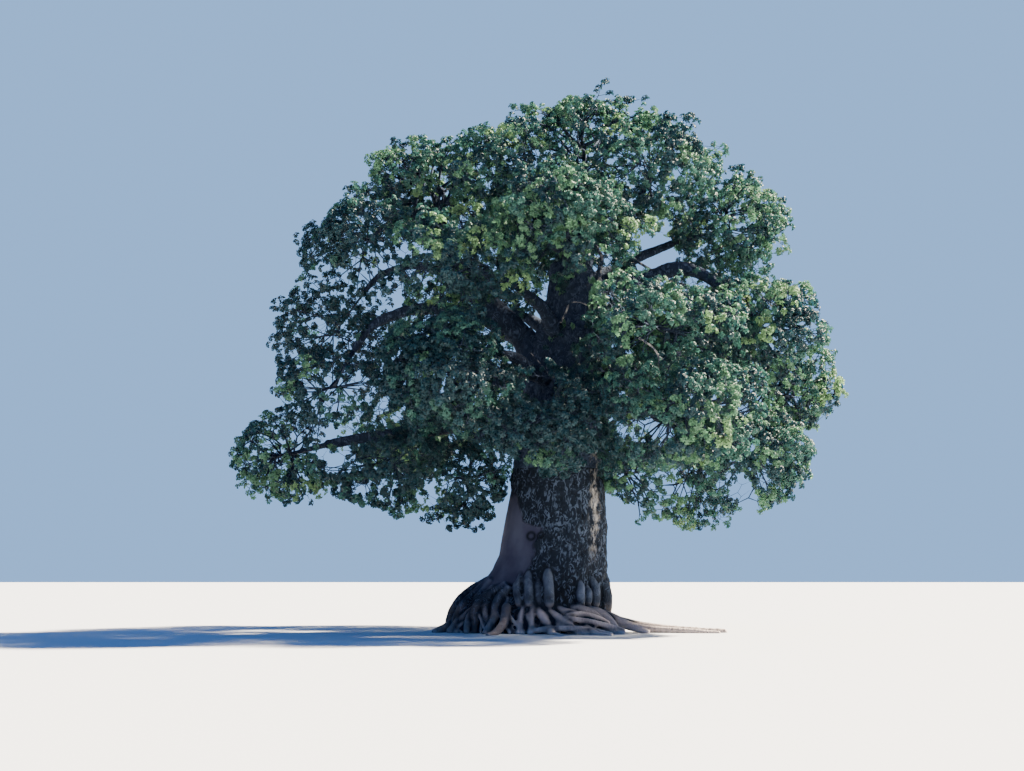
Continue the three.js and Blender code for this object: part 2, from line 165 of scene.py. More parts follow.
# Each row is a mass of leaves and the bough that carries it: name, what the bough grows from, how far up that
# as a share, the point that it bends towards and its radius at the foot; then the middle and reach of the
# mass, and whether it is open, with gaps all through it.
crown = [
    ("top", "trunk", 0.97, (1.5, 0.1, 14.2), 0.43,
     (1.4, 0, 16.75), (3.15, 3.4, 2.2), False),
    ("top_left", "top", 0.2, (-0.2, -0.6, 13.7), 0.25,
     (-1.2, -1, 15.45), (2.85, 3.4, 2.2), False),
    ("top_right", "top", 0.36, (2.8, -0.4, 13.6), 0.23,
     (3.65, -1.2, 15.55), (2.8, 3.4, 2.25), False),
    ("crown_left", "trunk", 0.69, (-2.5, 0.2, 10.9), 0.52,
     (-3.95, 0.9, 15.35), (2.85, 3.5, 2.15), False),
    ("left_high", "crown_left", 0.8, (-4.6, -0.5, 14.7), 0.17,
     (-6.2, -1.3, 12.9), (2.35, 3.2, 2.2), True),
    ("left_mid", "crown_left", 0.68, (-5, 0.3, 13.4), 0.17,
     (-7.4, 0.9, 10.25), (2.65, 3, 2.15), True),
    ("left_drop", "crown_left", 0.36, (-5.1, -1.3, 11.7), 0.27,
     (-7.15, -1.7, 7.9), (2.35, 2.9, 1.9), True),
    ("left_low", "trunk", 0.57, (-4.1, -1.2, 7), 0.35,
     (-9.05, 0.4, 5.9), (2.15, 2.7, 1.8), True),
    ("left_skirt", "left_low", 0.46, (-4.1, -1.3, 6.9), 0.19,
     (-5.5, -1.4, 5.5), (2.4, 3.1, 1.7), False),
    ("foot_left", "trunk", 0.51, (-2.3, -1, 7), 0.21,
     (-2.6, -0.9, 4.9), (1.95, 2.6, 1.65), True),
    ("right_high", "trunk", 0.91, (3.6, 1.3, 13.3), 0.27,
     (6.55, 1.3, 14.15), (2.5, 3.5, 2.3), False),
    ("right_mid", "trunk", 0.9, (4.7, -1.3, 12.7), 0.33,
     (7.25, -1.4, 10.15), (2.45, 3.5, 2.1), False),
    ("right_wide", "trunk", 0.71, (4.7, 0.9, 9.7), 0.33,
     (8.35, 1.4, 8.3), (2.45, 3.5, 2.1), False),
    ("right_low", "trunk", 0.59, (3.9, -0.9, 7.9), 0.31,
     (6.7, -1.8, 5.7), (2.4, 3.3, 1.9), False),
    ("right_skirt", "right_low", 0.45, (4.7, 0.2, 7), 0.18,
     (5, 0.5, 5.1), (2.15, 2.9, 1.9), True),
    ("foot_right", "trunk", 0.47, None, 0,
     (2.9, -1, 5.25), (1.55, 2.3, 1.5), False),
    ("front_top", "trunk", 0.86, (0.8, -1.5, 12.4), 0.27,
     (0.6, -4.4, 13), (2.75, 3.2, 2.25), False),
    ("front_left_high", "trunk", 0.77, (-0.9, -3, 11.3), 0.26,
     (-3, -4.7, 11.5), (2.5, 3.2, 2.05), False),
    ("front_left", "trunk", 0.64, (-1.7, -3.6, 9.1), 0.29,
     (-3.15, -5.4, 8), (2.7, 3.3, 2.2), False),
    ("front_centre", "trunk", 0.58, (0.3, -3.6, 8.3), 0.24,
     (0.15, -5.1, 6.55), (2.4, 3, 1.95), False),
    ("front_right_high", "trunk", 0.74, (2.2, -2.3, 10.3), 0.29,
     (3.45, -4.9, 9.5), (2.7, 3.3, 2.2), False),
    ("front_right", "trunk", 0.61, (2.5, -3.8, 8.6), 0.29,
     (4, -6, 6.75), (2.9, 3.3, 2.2), False),
    ("back_top", "trunk", 0.89, (0.9, 1.8, 13.2), 0.27,
     (0.25, 4.2, 14.9), (3.15, 3.4, 2.5), False),
    ("back_left_high", "trunk", 0.78, (-1, 3, 11.6), 0.26,
     (-3.3, 5.2, 11.6), (2.8, 3.1, 2.25), True),
    ("back_right_high", "trunk", 0.82, (2.8, 2.9, 12), 0.27,
     (5.6, 5.2, 11.2), (3.15, 3.3, 2.2), False),
    ("back_left", "trunk", 0.66, (-2, 3.8, 9.3), 0.29,
     (-5.2, 5.8, 7.35), (3.25, 3.4, 2.05), False),
    ("back_centre", "trunk", 0.72, (0.7, 4.2, 10.2), 0.27,
     (0.45, 6.8, 8.45), (3.25, 3.4, 2.4), False),
    ("back_right", "trunk", 0.63, (3, 3.9, 9.2), 0.29,
     (5.4, 6, 7.85), (3.3, 3.4, 2.25), False),
]
middles = np.array([row[5] for row in crown], float)
reaches = np.array([row[6] for row in crown], float)
sizes = reaches.mean(axis=1)
massNumber = {row[0]: i for i, row in enumerate(crown)}
trunkHeight = trunkRings[-1][0]


def spread(seed):
    # The same number between 0 and 1 each time for the same seed
    s = math.sin(seed * 12.9898 + 4.1414) * 43758.5453
    return s - math.floor(s)


def trunkAt(height):
    heights, leans, radii = zip(*trunkRings)
    return np.interp(height, heights, leans), np.interp(height, heights, radii)


def trunkMiddle(share):
    height = share * trunkHeight
    return np.array([trunkAt(height)[0], 0, height])


def boughRadius(foot, t):
    return foot * (1 - (1 - limbPlan["tipShare"]) * t
                   + limbPlan["collarShare"] * np.exp(-limbPlan["collarFade"] * t))


def evenCourse(start, bend, tip):
    # A bough's curve, as a function of the share of its length
    t = np.linspace(0, 1, 200)[:, None]
    course = (1 - t) ** 2 * start + 2 * t * (1 - t) * bend + t ** 2 * tip
    along = np.concatenate([[0], np.cumsum(np.linalg.norm(np.diff(course, axis=0), axis=1))])
    along /= along[-1]
    return lambda share: np.stack([np.interp(share, along, course[:, i]) for i in range(3)], axis=-1)


boughs = {}
limbPlaces = []
limbRadii = []
for name, carrier, at, bend, foot, middle, reach, isOpen in crown:
    if bend is None:
        continue
    start = boughs[carrier]["course"](at) if carrier in boughs else trunkMiddle(at)
    out = np.array(bend) - middle
    tip = middle + out * limbPlan["entry"] / np.linalg.norm(out / reach)
    course = evenCourse(start, np.array(bend, float), tip)
    boughs[name] = {"course": course, "foot": foot, "tip": tip, "start": start}
    count = math.ceil(np.linalg.norm(tip - start) / limbPlan["sampleStep"])
    shares = np.linspace(0, 1, count + 1)
    limbPlaces.append(course(shares))
    limbRadii.append(boughRadius(foot, shares))
limbPlaces = np.concatenate(limbPlaces)
limbRadii = np.concatenate(limbRadii)


def nearLimb(places, room=limbPlan["room"]):
    lean, radius = trunkAt(places[:, 2])
    inTrunk = (places[:, 2] < trunkHeight) & (np.hypot(places[:, 0] - lean, places[:, 1]) < radius + room)
    apart = np.linalg.norm(places[:, None] - limbPlaces[None], axis=2)
    return inTrunk | (apart < limbRadii + room).any(axis=1)


def toNeighbours(number, places):
    # How far each place is from the flat boundary to the nearest neighbour's space; below 0 it is in there
    own = ((places - middles[number]) ** 2).sum(axis=1) - sizes[number] ** 2
    nearest = np.full(len(places), np.inf)
    for other in range(len(crown)):
        if other != number:
            apart = np.linalg.norm(middles[other] - middles[number])
            balance = ((places - middles[other]) ** 2).sum(axis=1) - sizes[other] ** 2 - own
            nearest = np.minimum(nearest, balance / (2 * apart))
    return nearest


def inSpace(number, places, between=0.08):
    # A mass's own space is where it reaches, on its side of the flat boundary to each neighbour
    inside = (np.linalg.norm((places - middles[number]) / reaches[number], axis=1) <= 1) & (places[:, 2] >= 0)
    return inside & (toNeighbours(number, places) > between / 2)


def meshPiece(name, places, faces, materials, tones=None):
    # One mesh from arrays of corners and triangles, with the number of each triangle's material
    mesh = bpy.data.meshes.new(name)
    mesh.vertices.add(len(places))
    mesh.vertices.foreach_set("co", np.ascontiguousarray(places, np.float32).ravel())
    mesh.loops.add(faces.size)
    mesh.loops.foreach_set("vertex_index", np.ascontiguousarray(faces, np.int32).ravel())
    mesh.polygons.add(len(faces))
    mesh.polygons.foreach_set("loop_start", np.arange(0, faces.size, 3, dtype=np.int32))
    if tones is not None:
        mesh.polygons.foreach_set("material_index", np.ascontiguousarray(tones, np.int32))
    for material in materials:
        mesh.materials.append(material)
    mesh.update(calc_edges=True)
    piece = bpy.data.objects.new(name, mesh)
    bpy.context.collection.objects.link(piece)
    return piece


# Bare twigs that show between the leaves, each as its radius at the foot and places
bareTwigs = [
    (0.11, [(1.98, -1.2, 10.9), (1.86, -1.25, 11.5), (1.82, -1.2, 12.03), (1.93, -1.1, 12.5),
            (1.72, -1, 13)]),
    (0.035, [(0, -1.9, 8.7), (0.28, -2.6, 8.25), (0.99, -2.7, 7.99), (1.42, -2.6, 8.09), (1.87, -2.4, 8.4)]),
    (0.03, [(0.31, -2.5, 8.19), (0.02, -2.6, 8.42), (-0.27, -2.6, 8.78), (-0.5, -2.4, 9.07)]),
    (0.035, [(0.5, -1.8, 10.2), (0.66, -2.2, 10.47), (0.79, -2.2, 10.74), (1.03, -2.2, 10.81),
             (1.4, -2.1, 10.7)]),
    (0.04, [(1.9, -1.5, 11.2), (2.23, -1.7, 11.16), (2.49, -1.7, 11.21), (2.69, -1.7, 11.5)]),
    (0.04, [(2.7, -6.4, 8.9), (2.85, -6.7, 8.76), (3.21, -6.9, 8.31), (3.23, -6.8, 7.9)]),
    (0.05, [(2.9, -0.5, 12.7), (3.78, -0.5, 12.17), (4.23, -0.5, 11.89), (4.9, -0.5, 11.7)]),
    (0.04, [(3.4, -0.4, 11.7), (4.24, -0.4, 12.05), (4.72, -0.4, 12.19), (5.2, -0.4, 12.3)]),
    (0.03, [(3.3, -0.4, 12.2), (3.96, -0.4, 11.91), (4.4, -0.4, 11.5)]),
]


# The wood: trunk, lobes of its foot, surface roots and boughs, joined and given a bark in relief
woodPlan = {
    "sides": 56,
    "ringRise": 0.5,
    "foldDepth": 0.05,  # from valley to top of the trunk's long folds, as a share of its radius
    "footFoldDepth": 0.15,  # how much deeper they are at the ground
    "footFoldHeight": 0.9,
    "voxel": 0.045,
    "smoothing": 3,
    "crestSmoothing": 24,
    "cut": 5.4,  # height at which the wood is parted into two pieces
    "boughShare": 0.78,  # of the faces that the upper piece keeps
    "knobSize": 0.2,  # from pit to pit of the old bark
    "knobStretch": 1.5,  # how much taller than wide they are
    "knobDepth": 0.11,
    "roughRise": 0.06,  # how far the old bark stands proud of the smooth
    "lumpSize": 0.7,
    "lumpDepth": 0.14,
    "grainSize": 0.09,
    "grainDepth": 0.035,
}
# Upright fingers on the front of the trunk's foot: how far to +X, then height of the top and of the foot, and
# radius
footFingers = [
    (-0.88, 1.84, 1.0, 0.13), (-0.57, 1.9, 0.92, 0.16), (-0.28, 1.74, 0.98, 0.11), (0.03, 1.98, 0.9, 0.18),
    (1.04, 1.66, 0.85, 0.14), (1.3, 1.48, 0.95, 0.11), (1.52, 1.72, 0.85, 0.13),
]
# Long rounded lobes round the rest of the foot: heading in degrees from +X towards the back, then the same
footLobes = [
    (350, 1.6, 0.3, 0.24), (12, 2.0, 0.4, 0.2), (31, 1.8, 0.3, 0.24), (55, 2.3, 0.4, 0.2),
    (74, 1.7, 0.3, 0.22), (92, 2.0, 0.4, 0.2), (117, 1.6, 0.3, 0.25), (141, 2.2, 0.4, 0.2),
    (160, 1.7, 0.3, 0.22), (184, 1.5, 0.2, 0.2), (206, 1.3, 0.2, 0.2), (226, 1.4, 0.3, 0.18),
]
# Surface roots, each as places (x, y, height) with the radius there
rootCourses = [
    # the bundle of roots in front, that runs off to the right
    [(-0.95, -2.0, 0.75, 0.15), (-0.85, -2.35, 0.5, 0.15), (-0.8, -2.6, 0.2, 0.13), (-0.95, -2.85, 0, 0.09)],
    [(-0.75, -2.1, 0.8, 0.13), (-0.6, -2.45, 0.55, 0.15), (-0.5, -2.65, 0.2, 0.14), (-0.55, -2.9, 0, 0.1)],
    [(-0.55, -2.1, 0.85, 0.15), (-0.2, -2.5, 0.62, 0.16), (0.0, -2.75, 0.3, 0.15), (0.1, -3.05, 0, 0.1)],
    [(-0.3, -2.1, 0.8, 0.16), (0.15, -2.45, 0.6, 0.17), (0.55, -2.75, 0.36, 0.16), (1.0, -3.1, 0.03, 0.11)],
    [(0.0, -2.2, 0.55, 0.17), (0.3, -2.65, 0.3, 0.16), (0.75, -2.95, 0.15, 0.13), (1.5, -3.25, 0, 0.08)],
    [(0.15, -2.0, 0.85, 0.16), (0.5, -2.25, 0.68, 0.18), (1.0, -2.4, 0.55, 0.16), (1.5, -2.75, 0.1, 0.11)],
    [(0.6, -1.8, 0.75, 0.18), (1.1, -2.0, 0.72, 0.2), (1.6, -2.15, 0.5, 0.17), (1.9, -2.5, 0.1, 0.12)],
    [(0.9, -1.9, 0.5, 0.18), (1.4, -2.3, 0.35, 0.16), (1.9, -2.55, 0.16, 0.13), (2.5, -2.8, 0, 0.08)],
    [(0.1, -2.55, 0.5, 0.09), (0.9, -2.75, 0.46, 0.1), (1.7, -2.7, 0.32, 0.1), (2.5, -2.6, 0.1, 0.08)],
    [(-0.4, -2.8, 0.12, 0.1), (0.5, -3.15, 0.2, 0.1), (1.3, -3.05, 0.16, 0.09), (2.1, -3.1, 0.0, 0.07)],
    [(0.6, -2.6, 0.55, 0.1), (1.0, -2.5, 0.62, 0.11), (1.6, -2.45, 0.5, 0.11), (2.0, -2.35, 0.3, 0.1)],
    [(1.2, -1.5, 0.7, 0.2), (1.75, -1.75, 0.6, 0.19), (2.1, -2.0, 0.3, 0.16), (2.3, -2.3, 0, 0.11)],
    [(1.4, -1.2, 0.6, 0.24), (2.0, -1.5, 0.5, 0.21), (2.6, -1.7, 0.26, 0.17), (3.3, -2.1, 0.02, 0.1)],
    [(1.4, -0.7, 0.5, 0.3), (2.0, -1.0, 0.4, 0.24), (3.1, -1.1, 0.2, 0.17), (4.3, -1.3, 0.1, 0.13),
     (5.9, -1.5, 0.02, 0.11)],
    [(2.4, -1.3, 0.3, 0.16), (3.2, -1.5, 0.14, 0.13), (4.6, -1.9, 0.05, 0.12), (5.6, -2.1, 0.0, 0.09)],
    [(-0.3, -2.3, 0.3, 0.2), (0.1, -3.0, 0.12, 0.16), (0.15, -3.5, 0.03, 0.11), (0.5, -4.0, 0, 0.07)],
    [(0.9, -2.2, 0.3, 0.22), (1.3, -2.9, 0.12, 0.15), (1.55, -3.4, 0.03, 0.11), (2.0, -3.9, 0, 0.07)],
    # the tangle down the left side
    [(-1.2, -1.9, 1.5, 0.13), (-1.6, -2.0, 1.0, 0.14), (-1.7, -2.35, 0.5, 0.13), (-2.0, -2.8, 0, 0.1)],
    [(-1.3, -1.7, 1.6, 0.12), (-1.9, -1.75, 1.1, 0.12), (-1.95, -2.15, 0.6, 0.12), (-1.7, -2.6, 0.05, 0.1)],
    [(-1.7, -1.5, 1.5, 0.13), (-2.1, -1.5, 1.0, 0.13), (-2.5, -1.75, 0.5, 0.12), (-2.6, -2.2, 0, 0.1)],
    [(-1.8, -1.1, 1.7, 0.14), (-2.3, -1.2, 1.0, 0.15), (-2.75, -1.3, 0.5, 0.14), (-3.2, -1.6, 0, 0.1)],
    [(-2.1, -1.9, 0.8, 0.1), (-2.4, -1.6, 0.75, 0.1), (-2.75, -1.45, 0.45, 0.1), (-3.05, -1.0, 0.1, 0.1)],
    [(-2.0, -0.5, 1.5, 0.2), (-2.6, -0.6, 0.9, 0.2), (-3.0, -0.9, 0.35, 0.16), (-3.7, -1.5, 0, 0.1)],
    [(-1.3, -2.2, 0.9, 0.14), (-1.35, -2.6, 0.45, 0.15), (-1.6, -3.2, 0.1, 0.12), (-1.9, -3.9, 0, 0.08)],
]
# Thin roots that creep over the front of the foot
rootTangle = {
    "count": 30,
    "headings": (192, 300),
    "tops": (0.45, 1.35),
    "turns": (-14, 26),  # degrees that one goes round the foot on its way down
    "radii": (0.055, 0.085),
    "worn": 0.8,
}
# Where the bark is smooth, on the left: the right edge on the front as heights and how far it is to +X, the
# left edge as heights and headings, and the heights that the patch lies between
smoothPatch = {
    "right": ([1.4, 1.7, 2.2, 2.5, 3.0, 3.4, 3.55, 3.8, 4.3, 5.3, 7],
              [-1.1, -0.86, -0.44, -0.27, -0.18, -0.11, -0.5, -0.76, -0.86, -1.05, -1.2]),
    "left": ([1.3, 2, 4, 6, 7], [170, 140, 125, 150, 185]),
    "heights": (1.35, 6.8),
}
paintedSunStreak = {  # painted sunlight: a lit streak painted on the bark on the right of the front
    "heading": 320,
    "width": 9,  # in degrees
    "heights": (2.2, 6.4),
}
# Round scars on the front of the smooth bark: how far to +X and up, radius and width of the ring
barkScars = [((-0.49, 3.13), 0.12, 0.05), ((-0.17, 3.13), 0.1, 0.045)]


def limbTube(places, radii):
    bpy.ops.curve.primitive_bezier_curve_add()
    tube = bpy.context.object
    knots = tube.data.splines[0].bezier_points
    knots.add(len(places) - 2)
    for knot, place, radius in zip(knots, places, radii):
        knot.co = Vector(place)
        knot.radius = radius
        knot.handle_left_type = knot.handle_right_type = "AUTO"
    tube.data.resolution_u = 5
    tube.data.bevel_depth = 1
    tube.data.bevel_resolution = 3
    tube.data.use_fill_caps = True
    pickOnly(tube)
    bpy.ops.object.convert(target="MESH")
    return bpy.context.object


def onTrunk(heading, height, out=0.0, across=None):
    # A place on the trunk's surface, by its heading, or on the front by how far it is to +X
    lean, radius = trunkAt(height)
    angle = math.radians(heading) if across is None else -math.acos((across - lean) / radius)
    return lean + (radius + out) * math.cos(angle), (radius + out) * math.sin(angle), height


def applied(piece, kind, **settings):
    pickOnly(piece)
    modifier = piece.modifiers.new(kind.lower(), kind)
    for name, value in settings.items():
        setattr(modifier, name, value)
    bpy.ops.object.modifier_apply(modifier=modifier.name)


def corners(piece, what="vertices", field="co"):
    numbers = np.empty(len(piece.data.vertices) * 3, np.float32)
    getattr(piece.data, what).foreach_get(field, numbers)
    return numbers.reshape(-1, 3)


def keepOnMesh(piece, name, numbers):
    piece.data.attributes.new(name, "FLOAT", "POINT").data.foreach_set("value", numbers.astype(np.float32))


def weightGroup(piece, name, weights):
    # Vertices are put in the group by weight rounded to a hundredth, all of one weight at once
    group = piece.vertex_groups.new(name=name)
    steps = np.round(np.clip(weights, 0, 1) * 100).astype(int)
    for step in np.unique(steps):
        group.add(np.flatnonzero(steps == step).tolist(), step / 100, "REPLACE")


def foldDepth(height):
    return woodPlan["foldDepth"] + woodPlan["footFoldDepth"] * np.exp(-height / woodPlan["footFoldHeight"])


# Trunk: a round foot drawn up ring by ring
pickOnly(floor)
lean, radius = trunkAt(0)
radius *= 1 - foldDepth(0) / 2
bpy.ops.mesh.primitive_circle_add(vertices=woodPlan["sides"], radius=radius, fill_type="NGON",
                                  location=(lean, 0, 0))
trunk = bpy.context.object
bpy.ops.object.transform_apply(location=True)
bpy.ops.object.mode_set(mode="EDIT")
rise = woodPlan["ringRise"]
for height in np.arange(rise, trunkHeight + rise / 2, rise):
    nextLean, nextRadius = trunkAt(height)
    nextRadius *= 1 - foldDepth(height) / 2
    bpy.ops.mesh.extrude_region_move(TRANSFORM_OT_translate={"value": (nextLean - lean, 0, rise)})
    bpy.ops.transform.resize(value=(nextRadius / radius, nextRadius / radius, 1),
                             center_override=(nextLean, 0, height))
    lean, radius = nextLean, nextRadius
bpy.ops.mesh.select_all(action="SELECT")
bpy.ops.mesh.normals_make_consistent(inside=False)
bpy.ops.object.mode_set(mode="OBJECT")

# Long folds, deepest at the ground
body = corners(trunk)
lean, radius = trunkAt(body[:, 2])
angles = np.arctan2(body[:, 1], body[:, 0] - lean)
folds = (np.cos(5 * angles + 0.6) + 0.6 * np.cos(8 * angles + 2.1)) / 3.2 + 0.5
deepest = foldDepth(0) * trunkAt(0)[1]
weightGroup(trunk, "folds", folds * foldDepth(body[:, 2]) * radius / deepest)
applied(trunk, "DISPLACE", vertex_group="folds", mid_level=0, strength=deepest)
pickOnly(trunk)
bpy.ops.object.vertex_group_remove(all=True)

wood = [trunk]
wornLimbs = []
for across, top, foot, radius in footFingers:
    swing = 0.06 * (spread(across) - 0.5)
    course = [onTrunk(0, top + 0.12, -0.2, across), onTrunk(0, top - 0.15, 0.07, across + swing),
              onTrunk(0, (top + foot) / 2, 0.15, across - swing), onTrunk(0, foot, 0.08, across),
              onTrunk(0, foot - 0.25, -0.2, across)]
    wornLimbs.append((course, [radius * k for k in (0.6, 0.95, 1.12, 1.0, 0.6)], 1 if radius > 0.13 else 0.6))
for heading, top, foot, radius in footLobes:
    swing = 4 * (spread(heading) - 0.5)
    course = [onTrunk(heading, top + 0.15, -0.2), onTrunk(heading + swing, top - 0.15, 0.07),
              onTrunk(heading - swing, (top + foot) / 2, 0.16), onTrunk(heading, foot, 0.08),
              onTrunk(heading, 0.02, 0.0)]
    wornLimbs.append((course, [radius * k for k in (0.6, 0.95, 1.15, 1.0, 0.9)], 0.3))
for course in rootCourses:
    share = 1 if course[0][0] > -1.0 else 0.35
    wornLimbs.append(([place[:3] for place in course], [place[3] for place in course], share))
for i in range(rootTangle["count"]):
    picked = []
    for k, part in enumerate(("headings", "tops", "turns", "radii")):
        low, high = rootTangle[part]
        picked.append(low + spread(7 * i + k) * (high - low))
    heading, height, turned, radius = picked
    course = [onTrunk(heading + turned * share, height * (1 - share), 0.04 + 0.3 * share * spread(i + 0.5))
              for share in (0, 0.3, 0.65, 1)]
    wornLimbs.append((course, [radius * k for k in (0.7, 1, 1, 0.8)], rootTangle["worn"]))
for course, radii, share in wornLimbs:
    wood.append(limbTube(course, radii))
for name, bough in boughs.items():
    shares = np.linspace(0, 1, 7)
    course = bough["course"](shares)
    radii = boughRadius(bough["foot"], shares)
    seed = massNumber[name] * 50
    for i in range(1, 6):
        shake = np.array([spread(seed + 3 * i + k) - 0.5 for k in range(3)])
        course[i] += shake * radii[i] * 1.2
        radii[i] *= 0.9 + 0.25 * spread(seed + 30 + i)
    wood.append(limbTube(course, radii))
pickOnly(*wood)
bpy.context.view_layer.objects.active = trunk
bpy.ops.object.join()
trunk = bpy.context.object
applied(trunk, "REMESH", mode="VOXEL", voxel_size=woodPlan["voxel"])
applied(trunk, "SMOOTH", factor=0.5, iterations=woodPlan["smoothing"])
print("wood joined:", len(trunk.data.polygons), "faces")

# How smooth the bark is at each place, and where sunlight is painted on it, with ragged edges
body = corners(trunk)
lean, radius = trunkAt(body[:, 2])
headings = np.degrees(np.arctan2(body[:, 1], body[:, 0] - lean)) % 360
apart = np.hypot(body[:, 0] - lean, body[:, 1])
ragged = np.array([noise.noise(Vector(p) * 1.3) + 0.5 * noise.noise(Vector(p) * 4) for p in body.tolist()])
onBody = apart < radius * 1.25 + 0.1
rightEdge = np.interp(body[:, 2], *smoothPatch["right"])
leftEdge = np.interp(body[:, 2], *smoothPatch["left"])
lowest, highest = smoothPatch["heights"]
inside = np.where(headings > 180, (rightEdge - body[:, 0]) / 0.12, (headings - leftEdge) / 8) + ragged * 1.6
patch = np.where(onBody, np.clip(inside, 0, 1), 0)
patch *= np.clip((body[:, 2] - lowest + ragged * 0.25) * 4, 0, 1)
patch *= np.clip((highest - body[:, 2]) * 1.5, 0, 1)
# painted sunlight: the streak where the sun falls on the bark, by heading and height
off = np.abs(headings - paintedSunStreak["heading"]) / paintedSunStreak["width"]
painted_sunlight = np.clip(1.3 - off + ragged * 0.4, 0, 1) * onBody
lowest, highest = paintedSunStreak["heights"]
painted_sunlight *= np.clip((body[:, 2] - lowest) / 1.2, 0, 1) * np.clip((highest - body[:, 2]) * 1.5, 0, 1)
# Where the lobes of the foot and the roots are worn smooth
worn = np.zeros(len(body))
low = np.flatnonzero(body[:, 2] < 2.4)
for course, radii, share in wornLimbs:
    steps = np.linspace(0, len(course) - 1, 6 * len(course))
    line = np.stack([np.interp(steps, range(len(course)), values) for values in zip(*course)], axis=1)
    reach = np.interp(steps, range(len(course)), radii)
    off = (np.linalg.norm(body[low][:, None] - line[None], axis=2) - reach).min(axis=1)
    worn[low] = np.maximum(worn[low], np.clip(1 - off / 0.05, 0, 1) * share)
weightGroup(trunk, "rubbed", worn)
applied(trunk, "SMOOTH", factor=0.5, iterations=10, vertex_group="rubbed")
body = corners(trunk)
# Scars of old wounds, each a ring
scar = np.zeros(len(body))
for place, radius, width in barkScars:
    off = np.hypot(body[:, 0] - place[0], body[:, 2] - place[1]) - radius
    scar = np.maximum(scar, np.exp(-(off / width) ** 2) * (body[:, 1] < 0) * onBody)
thin = np.where(onBody, 1, 0.35)  # on the boughs the relief is shallower, and on the roots
thin *= np.clip((body[:, 2] - 0.6) / 1.6, 0.22, 1) * (1 - 0.85 * worn)
weightGroup(trunk, "rough", (1 - 0.9 * patch) * thin)
weightGroup(trunk, "lumpy", (1 - 0.6 * patch) * thin)


def relief(kind, size, **settings):
    texture = bpy.data.textures.new("relief", kind)
    texture.noise_scale = size
    for name, value in settings.items():
        setattr(texture, name, value)
    return texture


bpy.ops.object.empty_add()
stretch = bpy.context.object
stretch.scale = (1, 1, woodPlan["knobStretch"])
bpy.context.view_layer.update()
outward = corners(trunk, "vertex_normals", "vector")
applied(trunk, "DISPLACE", texture=relief("CLOUDS", woodPlan["lumpSize"], noise_depth=2),
        texture_coords="LOCAL", strength=woodPlan["lumpDepth"], mid_level=0.5, vertex_group="lumpy")
lumped = corners(trunk) + outward * woodPlan["roughRise"] * (1 - patch)[:, None]
applied(trunk, "DISPLACE", texture=relief("VORONOI", woodPlan["knobSize"], weight_1=-1, weight_2=1,
                                          noise_intensity=1.3),
        texture_coords="OBJECT", texture_coords_object=stretch, strength=-woodPlan["knobDepth"],
        mid_level=0.35, vertex_group="rough")
applied(trunk, "DISPLACE", texture=relief("CLOUDS", woodPlan["grainSize"], noise_depth=1),
        texture_coords="OBJECT", texture_coords_object=stretch, strength=woodPlan["grainDepth"],
        mid_level=0.5, vertex_group="rough")
applied(trunk, "DISPLACE", strength=woodPlan["roughRise"], mid_level=0, vertex_group="rough")
keepOnMesh(trunk, "relief", ((corners(trunk) - lumped) * outward).sum(axis=1))
# how far each place stands out of the wood round it
pickOnly(trunk)
bpy.ops.object.duplicate()
smoothed = bpy.context.object
applied(smoothed, "SMOOTH", factor=0.5, iterations=woodPlan["crestSmoothing"])
crest = ((corners(trunk) - corners(smoothed)) * corners(trunk, "vertex_normals", "vector")).sum(axis=1)
bpy.data.objects.remove(smoothed)
for name, numbers in (("crest", crest), ("patch", patch), ("painted_sunlight", painted_sunlight), ("worn", worn), ("scar", scar)):
    keepOnMesh(trunk, name, numbers)
bpy.data.objects.remove(stretch)
pickOnly(trunk)
bpy.ops.object.vertex_group_remove(all=True)
bpy.ops.object.shade_smooth()


def cutLevel(piece, height, keepAbove):
    pickOnly(piece)
    bpy.ops.object.mode_set(mode="EDIT")
    bpy.ops.mesh.select_all(action="SELECT")
    bpy.ops.mesh.bisect(plane_co=(0, 0, height), plane_no=(0, 0, 1), use_fill=True,
                        clear_inner=keepAbove, clear_outer=not keepAbove)
    bpy.ops.object.mode_set(mode="OBJECT")


cutLevel(trunk, 0, True)
pickOnly(trunk)
bpy.ops.object.duplicate()
boughWood = bpy.context.object
cutLevel(trunk, woodPlan["cut"], False)
cutLevel(boughWood, woodPlan["cut"], True)
applied(boughWood, "DECIMATE", ratio=woodPlan["boughShare"])
tubes = [limbTube(course, np.linspace(radius, radius / 2, len(course))) for radius, course in bareTwigs]
# painted sunlight: the bare twigs take the pale lit tone all along
for tube in tubes:
    keepOnMesh(tube, "painted_sunlight", np.ones(len(tube.data.vertices)))
pickOnly(boughWood, *tubes)
bpy.context.view_layer.objects.active = boughWood
bpy.ops.object.join()
trunk.name = "trunk_and_roots"
boughWood.name = "boughs"
for piece in (trunk, boughWood):
    piece.data.materials.clear()
    print(piece.name, sum(len(face.vertices) - 2 for face in piece.data.polygons), "triangles")


